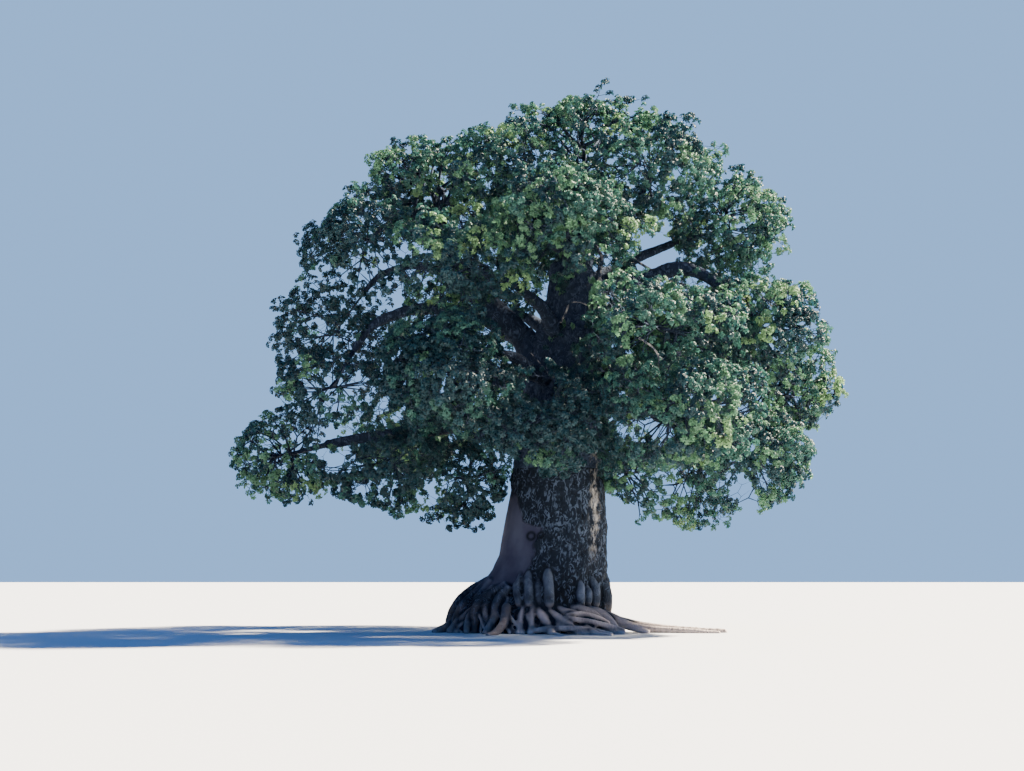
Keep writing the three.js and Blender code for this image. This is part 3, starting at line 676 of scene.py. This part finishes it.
# Bark. On the trunk it is thick, grey and knobbly with dark pits, and on the left smooth and mauve-grey.
barkPlan = {
    "ridge": "414E62",
    "middle": "17202D",
    "pit": "0C121A",
    "smooth": "414557",
    "smoothDark": "34374A",
    # painted sunlight: the pale tone of the lit streak and of the bare twigs
    "painted_sunlight": "A3A09C",
    "lobes": "68758A",
    # the roots' pinkish tone, made pale as painted sunlight on their crests
    "roots": "E0D0C8",
    "hollowShade": "171E29",  # painted shade in the hollows between the roots and lobes
    "boughLight": "3D495C",
    "boughMiddle": "293549",
    "boughDark": "1D2737",
    "roughness": 0.9,
    "sheen": 0.1,
    "upright": 0.6,  # scale of all marks up the trunk, as a share of that across, so they are drawn out upwards
    "blotchScale": 5,  # per metre, as the other scales
    "stainScale": 1.6,
    "whorlScale": 3.4,
    "whorlTurns": 46,  # ridges over the whole range of the whorls' noise, times 2 pi
    "whorlBump": (0.7, 0.05),  # strength and depth
    "flakeScale": 28,
    "flakeBump": (0.5, 0.02),
    "reliefRange": (-0.05, 0.045),  # how far pits and ridges stand out, in metres
    "reliefShadeShare": 0.35,  # painted shade and light: the share of the way to the ridges' tone that the relief lifts a place
    "rampPlaces": (0.08, 0.4, 1.0),
    "crestRange": (-0.006, 0.028),  # from the painted shade in the hollows between lobes and roots to the painted light on their crests
    "rootHeights": (1.0, 0.65),  # between which the lobes' tone gives way to the roots'
}


def barkMaterial(name, *tones):
    # Baobab bark is dry and matt: it has no gloss, and its relief gives it nearly all of its contrast, which is
    # also painted into its colour as shade in the pits and light on the ridges
    bark = newMaterial(name)
    place = addNode(bark, "TexCoord").outputs["Object"]
    tall = addNode(bark, "Mapping", inputs={"Vector": place, "Scale": (1, 1, barkPlan["upright"])})

    def kept(part):
        return addNode(bark, "Attribute", {"attribute_name": part}).outputs["Fac"]

    def cloud(part, detail, **inputs):
        return addNode(bark, "TexNoise", inputs={
            "Vector": tall, "Scale": barkPlan[part + "Scale"], "Detail": detail, **inputs}).outputs["Fac"]

    def ranged(value, low, high, **settings):
        return addNode(bark, "MapRange", settings, {"Value": value, "From Min": low, "From Max": high})

    def maths(operation, *values):
        return addNode(bark, "Math", {"operation": operation}, dict(enumerate(values)))

    def mixed(share, under, over):
        under, over = (linear(barkPlan[tone]) if isinstance(tone, str) else tone for tone in (under, over))
        return addNode(bark, "Mix", {"data_type": "RGBA"}, {0: share, 6: under, 7: over}).outputs[2]

    def bump(part, marks, **inputs):
        strength, depth = barkPlan[part + "Bump"]
        return addNode(bark, "Bump", inputs={"Height": marks, "Strength": strength, "Distance": depth, **inputs})

    # blotches of 0.2 m, and whorls of ridges about 0.08 m apart
    blotch = cloud("blotch", 4, Roughness=0.65)
    wave = maths("SINE", maths("MULTIPLY", cloud("whorl", 3, Distortion=0.4), barkPlan["whorlTurns"]))
    ridge = ranged(wave, -0.1, 0.7, interpolation_type="SMOOTHSTEP")
    lit = maths("MULTIPLY", ridge, ranged(blotch, 0.4, 0.62))
    # painted shade and light: the relief darkens the pits and lightens the ridges, on top of the whorl marks
    level = ranged(kept("relief"), *barkPlan["reliefRange"])
    ramp = addNode(bark, "ValToRGB", inputs={"Fac": maths("MULTIPLY_ADD", level, barkPlan["reliefShadeShare"], lit)})
    setRamp(ramp, [(at, barkPlan[tone]) for at, tone in zip(barkPlan["rampPlaces"], tones)])
    # the smooth bark has broad, faint stains
    smoothRamp = addNode(bark, "ValToRGB", inputs={"Fac": cloud("stain", 3)})
    setRamp(smoothRamp, [(0.35, barkPlan["smoothDark"]), (0.65, barkPlan["smooth"])])
    patch = kept("patch")
    skin = mixed(patch, ramp, smoothRamp)
    # painted sunlight: pale flakes of the lit streak, and of the bare twigs
    skin = mixed(maths("MULTIPLY", kept("painted_sunlight"), ranged(blotch, 0.46, 0.66)), skin, "painted_sunlight")
    # the foot's lobes are worn smooth and bluish, and roots near the ground paler and pinker, with painted
    # sunlight on the crests of both and painted shade in the hollows between them
    height = addNode(bark, "SeparateXYZ", inputs={0: place}).outputs["Z"]
    crests = mixed(ranged(height, *barkPlan["rootHeights"]), "lobes", "roots")
    foot = mixed(ranged(kept("crest"), *barkPlan["crestRange"]), "hollowShade", crests)
    colour = mixed(kept("scar"), mixed(kept("worn"), skin, foot), "pit")
    # fine cracks and flakes of 20 to 40 mm, under the whorls
    fine = bump("flake", cloud("flake", 5, Roughness=0.7))
    normal = bump("whorl", maths("MULTIPLY", ridge, maths("SUBTRACT", 1.0, patch)), Normal=fine)
    shader = addNode(bark, "BsdfPrincipled", inputs={
        "Base Color": colour, "Roughness": barkPlan["roughness"],
        "Specular IOR Level": barkPlan["sheen"], "Normal": normal})
    addNode(bark, "OutputMaterial", inputs={"Surface": shader})
    return bark


trunkBark = barkMaterial("old_baobab_bark", "pit", "middle", "ridge")
boughBark = barkMaterial("bough_bark", "boughDark", "boughMiddle", "boughLight")
trunk.data.materials.append(trunkBark)
boughWood.data.materials.append(boughBark)
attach(trunk, "root")
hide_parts("trunk", *[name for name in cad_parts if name.startswith("root_")])
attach(boughWood, "root")
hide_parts(*["bough_" + name for name in boughs])
print("wood done")

# Leaves. A baobab's leaf is a hand of five leaflets on a stalk, and the leaves stand in rosettes at the
# twigs' ends. They are drawn about half as large again as life, so that as many as fit here fill the crown.
leafPlan = {
    "tones": {  # a fresh leaf is matt green with a soft waxy sheen, and lets some light through
        "leaf_deep_green": "1B3A42", "leaf_green": "335A52", "leaf_bright_green": "4E765B",
        "leaf_young_green": "678A60", "leaf_pale_green": "7F9B6C",
    },
    "roughness": 0.5,
    "sheen": 0.3,
    "lightness": (0.72, 1.25),  # of the darkest and lightest leaves of a tone
    "throughLight": 0.34,  # share of the light that a leaf lets through
    "kinds": 8,
    "rises": (82, 40, 26, 12),  # how far each leaf rises from the rosette's flat, in degrees
    "riseShake": 14,
    "turnShake": 0.25,  # as a share of the step from leaf to leaf
    "leafletLength": 0.13,
    "leafletWidth": 0.073,
    "leafletSizes": (0.85, 1.1),
    "leafletWaist": 0.58,  # where a leaflet is widest, as a share of its length
    "leafletFold": 0.015,  # how far its edges rise there, and its tip hangs
    "leafletDroop": 0.25,
    "stalk": (0.06, 0.1),
    "rosetteSizes": (0.82, 1.15),
    "rosetteRise": 0.6,  # how much a rosette turns up towards the light
    "rosetteShake": 0.3,
    "changeScale": 3.2,  # the green goes from lighter to darker over about 0.3 m
    "changeEdges": (0.32, 0.68),
    "fan": (-110, -55, 0, 55, 110),  # leaflets of one leaf, in degrees from its middle one
    "perSquareMetre": 20.5,
    "openShare": 0.78,
    "innerShare": 0.22,
}
foliagePlan = {
    "spraysOfCored": 13,
    "spraysOfOpen": 12,
    "spraysOnTwig": 4,
    "sprayRoot": 0.6,  # these two as shares of the mass's reach
    "sprayTip": 0.98,
    "sprayLean": 0.5,
    "sprayDroop": 0.3,
    "sprayStep": 0.22,
    "stemShare": 0.8,  # radius of a mass's stem, as a share of its bough's tip
    "stemReach": 0.75,
    "trunkStem": 0.11,
    "twigShare": 0.72,  # radius of a twig's end, as a share of its start
    "twigReach": 0.62,
    "thinnestTwig": 0.027,
    "thinnestEnd": 0.008,
    "endsOnTwig": 3,
    "endsOfOneTone": 16,
    "furthest": 1.03,  # how far out the leaves start from, as a share of the mass's reach
    "limit": 0.975,
    "shake": 0.035,
    "ragged": 0.07,
    "dome": (0.18, 0.15),  # round each spray: depth, as a share of the mass's reach, and width
    "pads": (46, 0.13, 0.045),  # smaller domes: how many on a mass, depth and width
    "lumps": (180, 0.1, 0.012),
    "swellSize": 1.1,  # of the broad swells and hollows in each mass, in metres
    "swellDepth": 0.15,
    "inner": (0.6, 0.9),  # how far out the inner leaves stand, as a share of the others
    "bridge": 0.26,
    "bridgeWidth": 1.4,
    "room": 0.15,  # between leaves and a limb
    "company": 0.5,  # a rosette has another this near
    "gapSize": 0.38,
    "gaps": 0.26,  # the lower this is, the more of a mass is left out in small gaps
    "openGaps": 0.09,
    "shoots": 14,  # short leafy shoots on each bough
    "shootsFrom": 0.3,  # as a share of its length
    "shootLength": (0.25, 0.6),
    "shootLeaves": 5,
    "shootSpread": 0.14,
}
# Shares of the five tones from deep to pale: everywhere, in the spots of painted shade and in the spots of
# painted sunlight
toneShares = [0.34, 0.38, 0.22, 0.05, 0.01]
paintedShadeShares = [0.82, 0.16, 0.02, 0, 0]
paintedSunShares = [0.2, 0.38, 0.32, 0.09, 0.01]
# Painted shade: where the leaves are dealt deep green tones because the crown lies in shade there: place and
# radius
paintedShadeSpots = [
    ((-6.4, -1.8, 12.4), 2.7), ((-8.0, 0.5, 9.6), 3.0), ((-3.3, -6.0, 8.0), 3.3), ((0.2, -5.6, 6.4), 2.8),
    ((-5.6, -2.4, 6.4), 2.8), ((-2.2, -2.2, 5.0), 2.2), ((0.2, -3.4, 9.0), 1.8),
]
# Painted sunlight: where the leaves are dealt lighter tones, as if they stood in the sun
paintedSunSpots = [
    ((-4.7, -2.0, 13.4), 0.9), ((0.7, -5.5, 13.2), 1.1), ((-1.8, -2.5, 14.4), 0.7), ((2.5, -6.8, 9.8), 1.3),
    ((5.7, -1.5, 13.9), 0.9), ((4.2, -6.5, 9.0), 1.2), ((1.5, -6.0, 9.5), 0.7), ((8.3, -1.0, 11.1), 0.9),
    ((1.9, -1.0, 17.8), 0.9), ((8.9, -1.0, 7.9), 0.8), ((4.4, -4.0, 4.8), 0.7),
]
turn = math.pi * (3 - math.sqrt(5))  # the angle that spreads directions evenly
chance = np.random.default_rng(11)


def unit(rows):
    return rows / np.linalg.norm(rows, axis=-1, keepdims=True)


def evenDirections(count, seed):
    i = np.arange(count)
    up = 1 - (2 * i + 1) / count
    flat = np.sqrt(1 - up * up)
    return np.stack([flat * np.cos(i * turn + seed), flat * np.sin(i * turn + seed), up], axis=1)


def sprayTargets(number):
    # Directions spread evenly round a mass, each shaken a little, with the way that its spray leans
    seed = number * 100
    middle, reach = middles[number], reaches[number]
    count = foliagePlan["spraysOfOpen" if crown[number][7] else "spraysOfCored"]
    targets = []
    for i, out in enumerate(evenDirections(count, seed)):
        aside = np.array([spread(seed + 3 * i) - 0.5, spread(seed + 3 * i + 1) - 0.5,
                          spread(seed + 3 * i + 2) - 0.5 - foliagePlan["sprayDroop"]])
        aside = unit(aside - aside.dot(out) * out)
        towards = unit(out + aside * foliagePlan["sprayLean"])
        targets.append({"towards": towards, "root": middle + out * reach * foliagePlan["sprayRoot"],
                        "tip": middle + towards * reach * foliagePlan["sprayTip"]})
    return targets


def halves(places):
    order = np.argsort(places[:, np.argmax(np.ptp(places, axis=0))], kind="stable")
    half = (len(order) + 1) // 2
    return order[:half], order[half:]


def growBranches(number, start, targets, radius, twigs, sprays):
    # The sprays are halved across their longest side, and a twig runs part of the way to each half
    for part in halves(np.array([target["root"] for target in targets])):
        held = [targets[i] for i in part]
        heart = np.mean([target["root"] for target in held], axis=0)
        end = start + (heart - start) * foliagePlan["twigReach"]
        endRadius = max(foliagePlan["thinnestTwig"], radius * foliagePlan["twigShare"])
        if not inSpace(number, end[None])[0] or nearLimb(end[None])[0]:
            continue
        twigs.append((start, end, radius, endRadius))
        if len(held) > foliagePlan["spraysOnTwig"]:
            growBranches(number, end, held, endRadius, twigs, sprays)
            continue
        for i, target in enumerate(held):
            root = end + (start - end) * foliagePlan["sprayStep"] * (i + 0.7)
            sprays.append({"root": root, "radius": endRadius, "tip": target["tip"]})


def growTwigs(start, ends, radius, twigs, rosettes, tone=None):
    # The same halving, carried on to the rosettes of leaves
    for part in halves(ends):
        if not len(part):
            continue
        held = ends[part]
        partTone = tone
        if tone is None and len(held) < foliagePlan["endsOfOneTone"]:
            heart = held.mean(axis=0)
            shares = toneShares
            # near these spots the tones are dealt darker as painted shade, or lighter as painted sunlight
            for spots, theirs in ((paintedShadeSpots, paintedShadeShares), (paintedSunSpots, paintedSunShares)):
                if any(np.linalg.norm(heart - place) < reach for place, reach in spots):
                    shares = theirs
            partTone = chance.choice(5, p=shares)
        end = start + (held.mean(axis=0) - start) * foliagePlan["twigReach"]
        endRadius = max(foliagePlan["thinnestEnd"], radius * foliagePlan["twigShare"])
        twigs.append((start, end, radius, endRadius))
        if len(held) > foliagePlan["endsOnTwig"]:
            growTwigs(end, held, endRadius, twigs, rosettes, partTone)
            continue
        for place in held:
            twigs.append((end, place, endRadius, 0))
            rosettes.append((place, 1 if partTone is None else partTone))


# Gaps between the leaves, seen from the front: how far to +X and up on the line of sight, and the radius.
# These go right through the crown.
throughGaps = [
    (3.74, 13.06, 0.42), (4.16, 13.3, 0.3), (3.35, 12.63, 0.3), (4.43, 12.84, 0.3), (3.87, 12.49, 0.3),
    (3.53, 13.41, 0.22), (3.84, 12.98, 0.4), (3.59, 12.75, 0.2), (4.15, 12.66, 0.22), (4.43, 13.06, 0.22),
    (5.04, 11.96, 0.16), (5.59, 11.85, 0.16), (3.31, 11.92, 0.14), (-4.94, 12.98, 0.24), (-5.42, 12.5, 0.2),
    (-4.7, 12.35, 0.22), (-0.4, 10.52, 0.32), (-0.23, 10.1, 0.28), (-0.64, 10.17, 0.2), (-1.98, 10.24, 0.2),
    (1.75, 12.28, 0.14), (-5.54, 7.53, 0.26), (-5.09, 7.26, 0.26), (-4.82, 7.53, 0.16), (-6.11, 6.54, 0.13),
    (-5.36, 6.74, 0.13), (-7.15, 7.67, 0.18), (-7.37, 8.36, 0.14), (-7.74, 5.92, 0.14), (-6.98, 5.82, 0.14),
    (3.8, 6.78, 0.3), (4.27, 6.64, 0.26), (6.82, 7.47, 0.26), (9.75, 6.98, 0.36), (9.4, 6.64, 0.26),
    (6.76, 4.66, 0.36), (6.96, 4.19, 0.3), (2.37, 4.19, 0.42), (2.95, 3.98, 0.36), (-9.03, 7.74, 0.22),
    (-1.63, 4.12, 0.26), (-1.56, 3.65, 0.26), (-1.94, 4.46, 0.14),
]
# These part only the front of the crown, so that the fork, and the trunk below the leaves, can be seen
frontGaps = [
    (-0.69, 9.4, 0.8), (-1.12, 10.07, 0.55), (-0.2, 8.07, 0.55), (0.07, 10.74, 0.5), (0.14, 12.2, 0.55),
    (1.07, 11.42, 0.45), (-1.52, 10.58, 0.35), (1.85, 11.85, 0.36), (1.8, 12.4, 0.3), (1.5, 12.1, 0.25),
    (-0.44, 5.15, 0.3), (-0.73, 5.86, 0.26), (-0.86, 4.78, 0.45), (-0.9, 5.3, 0.35), (-0.35, 4.7, 0.3),
    (1.42, 4.94, 0.42), (1.5, 5.59, 0.3), (1.12, 4.4, 0.35), (-0.05, 4.1, 0.35), (-1.12, 4.12, 0.4),
    (1.68, 4.29, 0.45), (-0.6, 4.2, 0.4),
]
# Areas where light glitters through: middle to +X and up, half width, half height and how many small gaps
glitter = [
    (-5.07, 12.42, 1.46, 1.06, 44), (-6.19, 12.63, 0.69, 0.64, 12), (-5.51, 11.12, 0.86, 0.42, 16),
    (-6.87, 9.72, 1.03, 0.7, 18), (-7.02, 8.33, 1.2, 0.69, 24), (-5.98, 7.29, 1.2, 0.52, 24),
    (-7.51, 6.44, 1.19, 0.62, 30), (-9.64, 5.92, 0.75, 0.51, 6), (-5.45, 5.75, 0.85, 0.48, 10),
    (-8.83, 9.54, 0.69, 1.04, 10), (-3.91, 4.73, 0.68, 0.51, 8), (4.29, 12.88, 0.97, 0.57, 20),
    (5.04, 11.92, 1.04, 0.49, 16), (6.64, 13.94, 0.7, 0.71, 16), (7.66, 12.88, 0.62, 0.5, 8),
    (9.21, 9.72, 0.62, 1.39, 10), (6.52, 7.81, 0.86, 0.69, 14), (3.76, 6.78, 0.75, 0.62, 14),
    (3.74, 4.9, 1.02, 0.61, 26), (6.8, 4.9, 1.19, 0.48, 20), (7.8, 11.64, 0.76, 0.56, 8),
    (5.09, 15.19, 1.05, 1.07, 12), (3.35, 15.37, 0.87, 1.07, 8), (-0.33, 11.64, 0.86, 0.53, 8),
    (-3.11, 14.3, 0.7, 0.53, 8), (-3.96, 11.64, 0.69, 0.63, 12),
    (-5.86, 11.82, 0.83, 0.83, 20), (-6.9, 11.82, 0.52, 0.69, 12), (-4.64, 10.94, 0.86, 0.42, 14),
    (-6.87, 9.72, 0.48, 0.48, 8), (-5.82, 7.81, 0.48, 0.42, 14), (-6.31, 6.71, 1.2, 0.48, 44),
    (-6.98, 5.68, 0.62, 0.42, 18), (3.42, 6.71, 0.97, 0.42, 30), (4.42, 4.66, 0.48, 0.35, 10),
    (6.64, 14.19, 0.48, 0.48, 8), (-5.78, 4.73, 0.86, 0.35, 18), (2.36, 14.05, 0.42, 0.42, 6),
    (-1.71, 10.87, 0.42, 0.35, 10),
]
glitterSizes = (0.07, 0.15)  # from the smallest gap to the largest
openings = [((across, 0, height), radius, True) for across, height, radius in throughGaps]
openings += [((across, -2, height), radius, False) for across, height, radius in frontGaps]
smallest, largest = glitterSizes
for across, height, halfWidth, halfHeight, count in glitter:
    for i in range(count):
        out = math.sqrt((i + 0.5) / count)
        angle = i * turn + across
        at = (across + halfWidth * out * math.cos(angle), 0, height + halfHeight * out * math.sin(angle))
        openings.append((at, smallest + (largest - smallest) * spread(i + across), True))


def inOpening(places):
    eye = np.array(view["eye"])
    ats, radii, through = (np.array(part) for part in zip(*openings))
    off = np.linalg.norm(np.cross((places - eye)[:, None], unit(ats - eye)[None]), axis=2)
    within = off < radii * (0.8 + 0.4 * chance.random(off.shape))  # with a ragged edge
    return (within & (through | (places[:, 1:2] < 0.5))).any(axis=1)


def domed(directions, tops, depth, width):
    # How far leaves stand back at each direction, for being off the top of the nearest dome
    apart = 1 - (directions @ tops.T).max(axis=1)
    return depth * np.minimum(1, apart / width)


def leafPlaces(number):
    # Rosettes stand on a dome round each spray, and each dome is made of smaller pads and lumps
    name, isOpen = crown[number][0], crown[number][7]
    middle, reach = middles[number], reaches[number]
    a, b, c = reach ** 1.6
    area = 4 * math.pi * ((a * b + a * c + b * c) / 3) ** (1 / 1.6)
    leafCount = int(area * leafPlan["perSquareMetre"] * (leafPlan["openShare"] if isOpen else 1))
    directions = evenDirections(leafCount, number * 3.7)
    directions = unit(directions + chance.normal(0, foliagePlan["shake"], directions.shape))
    sprays = np.array([target["towards"] for target in sprayTargets(number)])
    share = foliagePlan["furthest"] - domed(directions, sprays, *foliagePlan["dome"])
    for count, depth, width in (foliagePlan["pads"], foliagePlan["lumps"]):
        shake = chance.normal(0, 1.1 / math.sqrt(count), (count, 3))
        share -= domed(directions, unit(evenDirections(count, number * 1.3) + shake), depth, width)
    share -= chance.uniform(0, foliagePlan["ragged"], len(share))
    swell = (middle + directions * reach) / foliagePlan["swellSize"]
    swell = np.array([noise.noise(Vector(place)) for place in swell.tolist()])
    share -= foliagePlan["swellDepth"] * np.clip(swell + 0.3, 0, 1)
    share = np.minimum(share, foliagePlan["limit"])
    inner = chance.random(len(share)) < leafPlan["innerShare"]
    share[inner] *= chance.uniform(*foliagePlan["inner"], inner.sum())
    # towards a neighbour the leaves stand out further, so that no deep valley parts the two masses
    near = toNeighbours(number, middle + directions * reach * share[:, None])
    share += foliagePlan["bridge"] * np.clip(1 - near / foliagePlan["bridgeWidth"], 0, 1)
    places = middle + directions * reach * share[:, None]
    keep = (toNeighbours(number, places) > 0) & ~nearLimb(places, foliagePlan["room"])
    thinness = foliagePlan["openGaps" if isOpen and name != "left_high" else "gaps"]
    gapNoise = [noise.noise(Vector(place)) for place in (places / foliagePlan["gapSize"]).tolist()]
    keep &= np.array(gapNoise) < thinness
    keep &= ~inOpening(places)
    places = places[keep]
    # a rosette that would stand alone is left out
    apart = np.linalg.norm(places[:, None] - places[None], axis=2)
    joined = (apart < foliagePlan["company"]).sum(axis=1) > 1
    return places[joined], unit(directions / reach)[keep][joined]


def rosetteKinds():
    # Each kind is a tuft of leaves round a twig's end. A leaflet is two triangles folded along its midrib.
    kinds = []
    for kind in range(leafPlan["kinds"]):
        places = []
        for leaf, rise in enumerate(leafPlan["rises"]):
            turned = leaf + chance.uniform(-leafPlan["turnShake"], leafPlan["turnShake"])
            around = 2 * math.pi * turned / (len(leafPlan["rises"]) - 1)
            rise = math.radians(rise + chance.uniform(-leafPlan["riseShake"], leafPlan["riseShake"]))
            flat = math.cos(rise)
            away = np.array([flat * math.cos(around), flat * math.sin(around), math.sin(rise)])
            top = unit(away * 0.8 + np.array([0, 0, 0.45]) + chance.normal(0, 0.12, 3))
            onward = unit(away - away.dot(top) * top)
            across = np.cross(top, onward)
            hand = away * chance.uniform(*leafPlan["stalk"])
            fold = top * leafPlan["leafletFold"]
            for angle in np.radians(leafPlan["fan"]):
                along = onward * math.cos(angle) + across * math.sin(angle) - top * leafPlan["leafletDroop"]
                along = unit(along)
                side = unit(np.cross(top, along))
                size = (1 - 0.25 * abs(angle) / 1.9) * chance.uniform(*leafPlan["leafletSizes"])
                length = leafPlan["leafletLength"] * size
                half = side * leafPlan["leafletWidth"] / 2 * size
                waist = hand + along * length * leafPlan["leafletWaist"] + fold
                foot = np.zeros(3) if angle == 0 else hand  # the middle leaflet goes on as the stalk
                places.append([foot, waist - half, hand + along * length - fold, waist + half])
        kinds.append(np.concatenate([np.array(part) for part in places]))
    return np.array(kinds)


rosettes = rosetteKinds()
rosetteFaces = np.array([[(first, first + 1, first + 2), (first, first + 2, first + 3)]
                         for first in range(0, rosettes.shape[1], 4)]).reshape(-1, 3)


def leafMaterial(name, colour):
    leaf = newMaterial(name)
    place = addNode(leaf, "TexCoord").outputs["Object"]
    change = addNode(leaf, "TexNoise", inputs={
        "Vector": place, "Scale": leafPlan["changeScale"], "Detail": 2}).outputs["Fac"]
    ramp = addNode(leaf, "ValToRGB", inputs={"Fac": change})
    for element, at, light in zip(ramp.color_ramp.elements, leafPlan["changeEdges"], leafPlan["lightness"]):
        element.position = at
        element.color = tuple(c * light for c in linear(colour)[:3]) + (1,)
    shader = addNode(leaf, "BsdfPrincipled", inputs={
        "Base Color": ramp, "Roughness": leafPlan["roughness"], "Specular IOR Level": leafPlan["sheen"]})
    through = addNode(leaf, "BsdfTranslucent", inputs={"Color": ramp})
    both = addNode(leaf, "MixShader", inputs={0: leafPlan["throughLight"], 1: shader, 2: through})
    addNode(leaf, "OutputMaterial", inputs={"Surface": both})
    return leaf


leafTones = [leafMaterial(name, colour) for name, colour in leafPlan["tones"].items()]


def rosettePiece(name, places, outward, tones):
    up = np.array([0, 0, leafPlan["rosetteRise"]])
    axis = unit(outward * 0.8 + up + chance.normal(0, leafPlan["rosetteShake"], outward.shape))
    spin = chance.uniform(0, 2 * math.pi, len(places))
    beside = unit(np.cross(axis, np.array([0.31, 0.87, 0.2])))
    beyond = np.cross(axis, beside)
    first = beside * np.cos(spin)[:, None] + beyond * np.sin(spin)[:, None]
    frames = np.stack([first, np.cross(axis, first), axis], axis=1)
    scale = chance.uniform(*leafPlan["rosetteSizes"], len(places))
    kinds = rosettes[chance.integers(0, leafPlan["kinds"], len(places))]
    tufts = np.einsum("nvk,nkj->nvj", kinds * scale[:, None, None], frames) + places[:, None]
    starts = np.arange(len(places)) * rosettes.shape[1]
    faces = (rosetteFaces[None] + starts[:, None, None]).reshape(-1, 3)
    return meshPiece(name, tufts.reshape(-1, 3), faces, leafTones, np.repeat(tones, len(rosetteFaces)))


def twigPiece(name, twigs):
    # Three-sided tubes, closed at both ends, or drawn to a point where a rosette stands
    starts, ends, radii, endRadii = (np.array(part, float) for part in zip(*twigs))
    along = unit(ends - starts + 1e-9)
    first = unit(np.cross(along, np.array([0.37, 0.61, 0.7])))
    second = np.cross(along, first)
    angles = 2 * np.pi * np.arange(3)[:, None] / 3
    ring = first[:, None] * np.cos(angles) + second[:, None] * np.sin(angles)
    low = starts[:, None] + ring * radii[:, None, None]
    high = ends[:, None] + ring * endRadii[:, None, None]
    pointed = endRadii == 0
    tubes = np.concatenate([low, high], axis=1)[~pointed]
    tips = np.concatenate([low, ends[:, None]], axis=1)[pointed]
    tubeFaces = [(0, 2, 1), (0, 1, 4), (0, 4, 3), (1, 2, 5), (1, 5, 4), (2, 0, 3), (2, 3, 5), (3, 4, 5)]
    tipFaces = [(0, 2, 1), (0, 1, 3), (1, 2, 3), (2, 0, 3)]
    tubeFaces = np.array(tubeFaces)[None] + 6 * np.arange(len(tubes))[:, None, None]
    tipFaces = np.array(tipFaces)[None] + 6 * len(tubes) + 4 * np.arange(len(tips))[:, None, None]
    places = np.concatenate([part.reshape(-1, 3) for part in (tubes, tips)])
    faces = np.concatenate([part.reshape(-1, 3) for part in (tubeFaces, tipFaces)])
    return meshPiece(name, places, faces, [boughBark])


def growShoots(number, bough, twigs, rosettes):
    # Short leafy shoots on the outer part of a bough; their leaves' places, and which way each shoot grows
    places, outward = [], []
    for i in range(foliagePlan["shoots"]):
        share = foliagePlan["shootsFrom"] + (1 - foliagePlan["shootsFrom"]) * spread(number * 40 + i)
        foot = bough["course"](share)
        away = unit(chance.normal(0, 1, 3))
        reach = boughRadius(bough["foot"], share) + chance.uniform(*foliagePlan["shootLength"])
        apart = chance.normal(0, foliagePlan["shootSpread"], (foliagePlan["shootLeaves"], 3))
        ends = foot + away * reach + apart
        ends = ends[~inOpening(ends)]
        if len(ends):
            growTwigs(foot, ends, foliagePlan["thinnestTwig"], twigs, rosettes)
            places.append(ends)
            outward.append(np.repeat(away[None], len(ends), axis=0))
    return places, outward


rosetteCount = 0
for number, row in enumerate(crown):
    name = row[0]
    bough = boughs.get(name)
    start = bough["tip"] if bough else trunkMiddle(row[2])
    radius = boughRadius(bough["foot"], 1) * foliagePlan["stemShare"] if bough else foliagePlan["trunkStem"]
    heart = start + (middles[number] - start) * foliagePlan["stemReach"]
    twigs = [(start, heart, radius, radius * foliagePlan["twigShare"])]
    sprays = []
    growBranches(number, heart, sprayTargets(number), radius * foliagePlan["twigShare"], twigs, sprays)
    places, outward = leafPlaces(number)
    roots = np.array([spray["root"] for spray in sprays])
    tips = np.array([spray["tip"] for spray in sprays])
    nearest = np.linalg.norm(places[:, None] - (roots + tips)[None] / 2, axis=2).argmin(axis=1)
    grown = []
    for i, spray in enumerate(sprays):
        ends = places[nearest == i]
        if len(ends):
            growTwigs(spray["root"], ends, spray["radius"], twigs, grown)
    if bough:
        shootPlaces, shootOutward = growShoots(number, bough, twigs, grown)
        places = np.concatenate([places, *shootPlaces])
        outward = np.concatenate([outward, *shootOutward])
    outwardAt = {tuple(place): out for place, out in zip(places.tolist(), outward)}
    grownPlaces = np.array([place for place, tone in grown])
    grownOutward = np.array([outwardAt[tuple(place.tolist())] for place in grownPlaces])
    tones = np.array([tone for place, tone in grown])
    leaves = rosettePiece("leaves_on_" + name, grownPlaces, grownOutward, tones)
    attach(leaves, "root")
    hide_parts("leaves_" + name)
    branches = twigPiece("twigs_of_" + name, twigs)
    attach(branches, "root")
    rosetteCount += len(grownPlaces)
print("crown done:", rosetteCount, "rosettes")
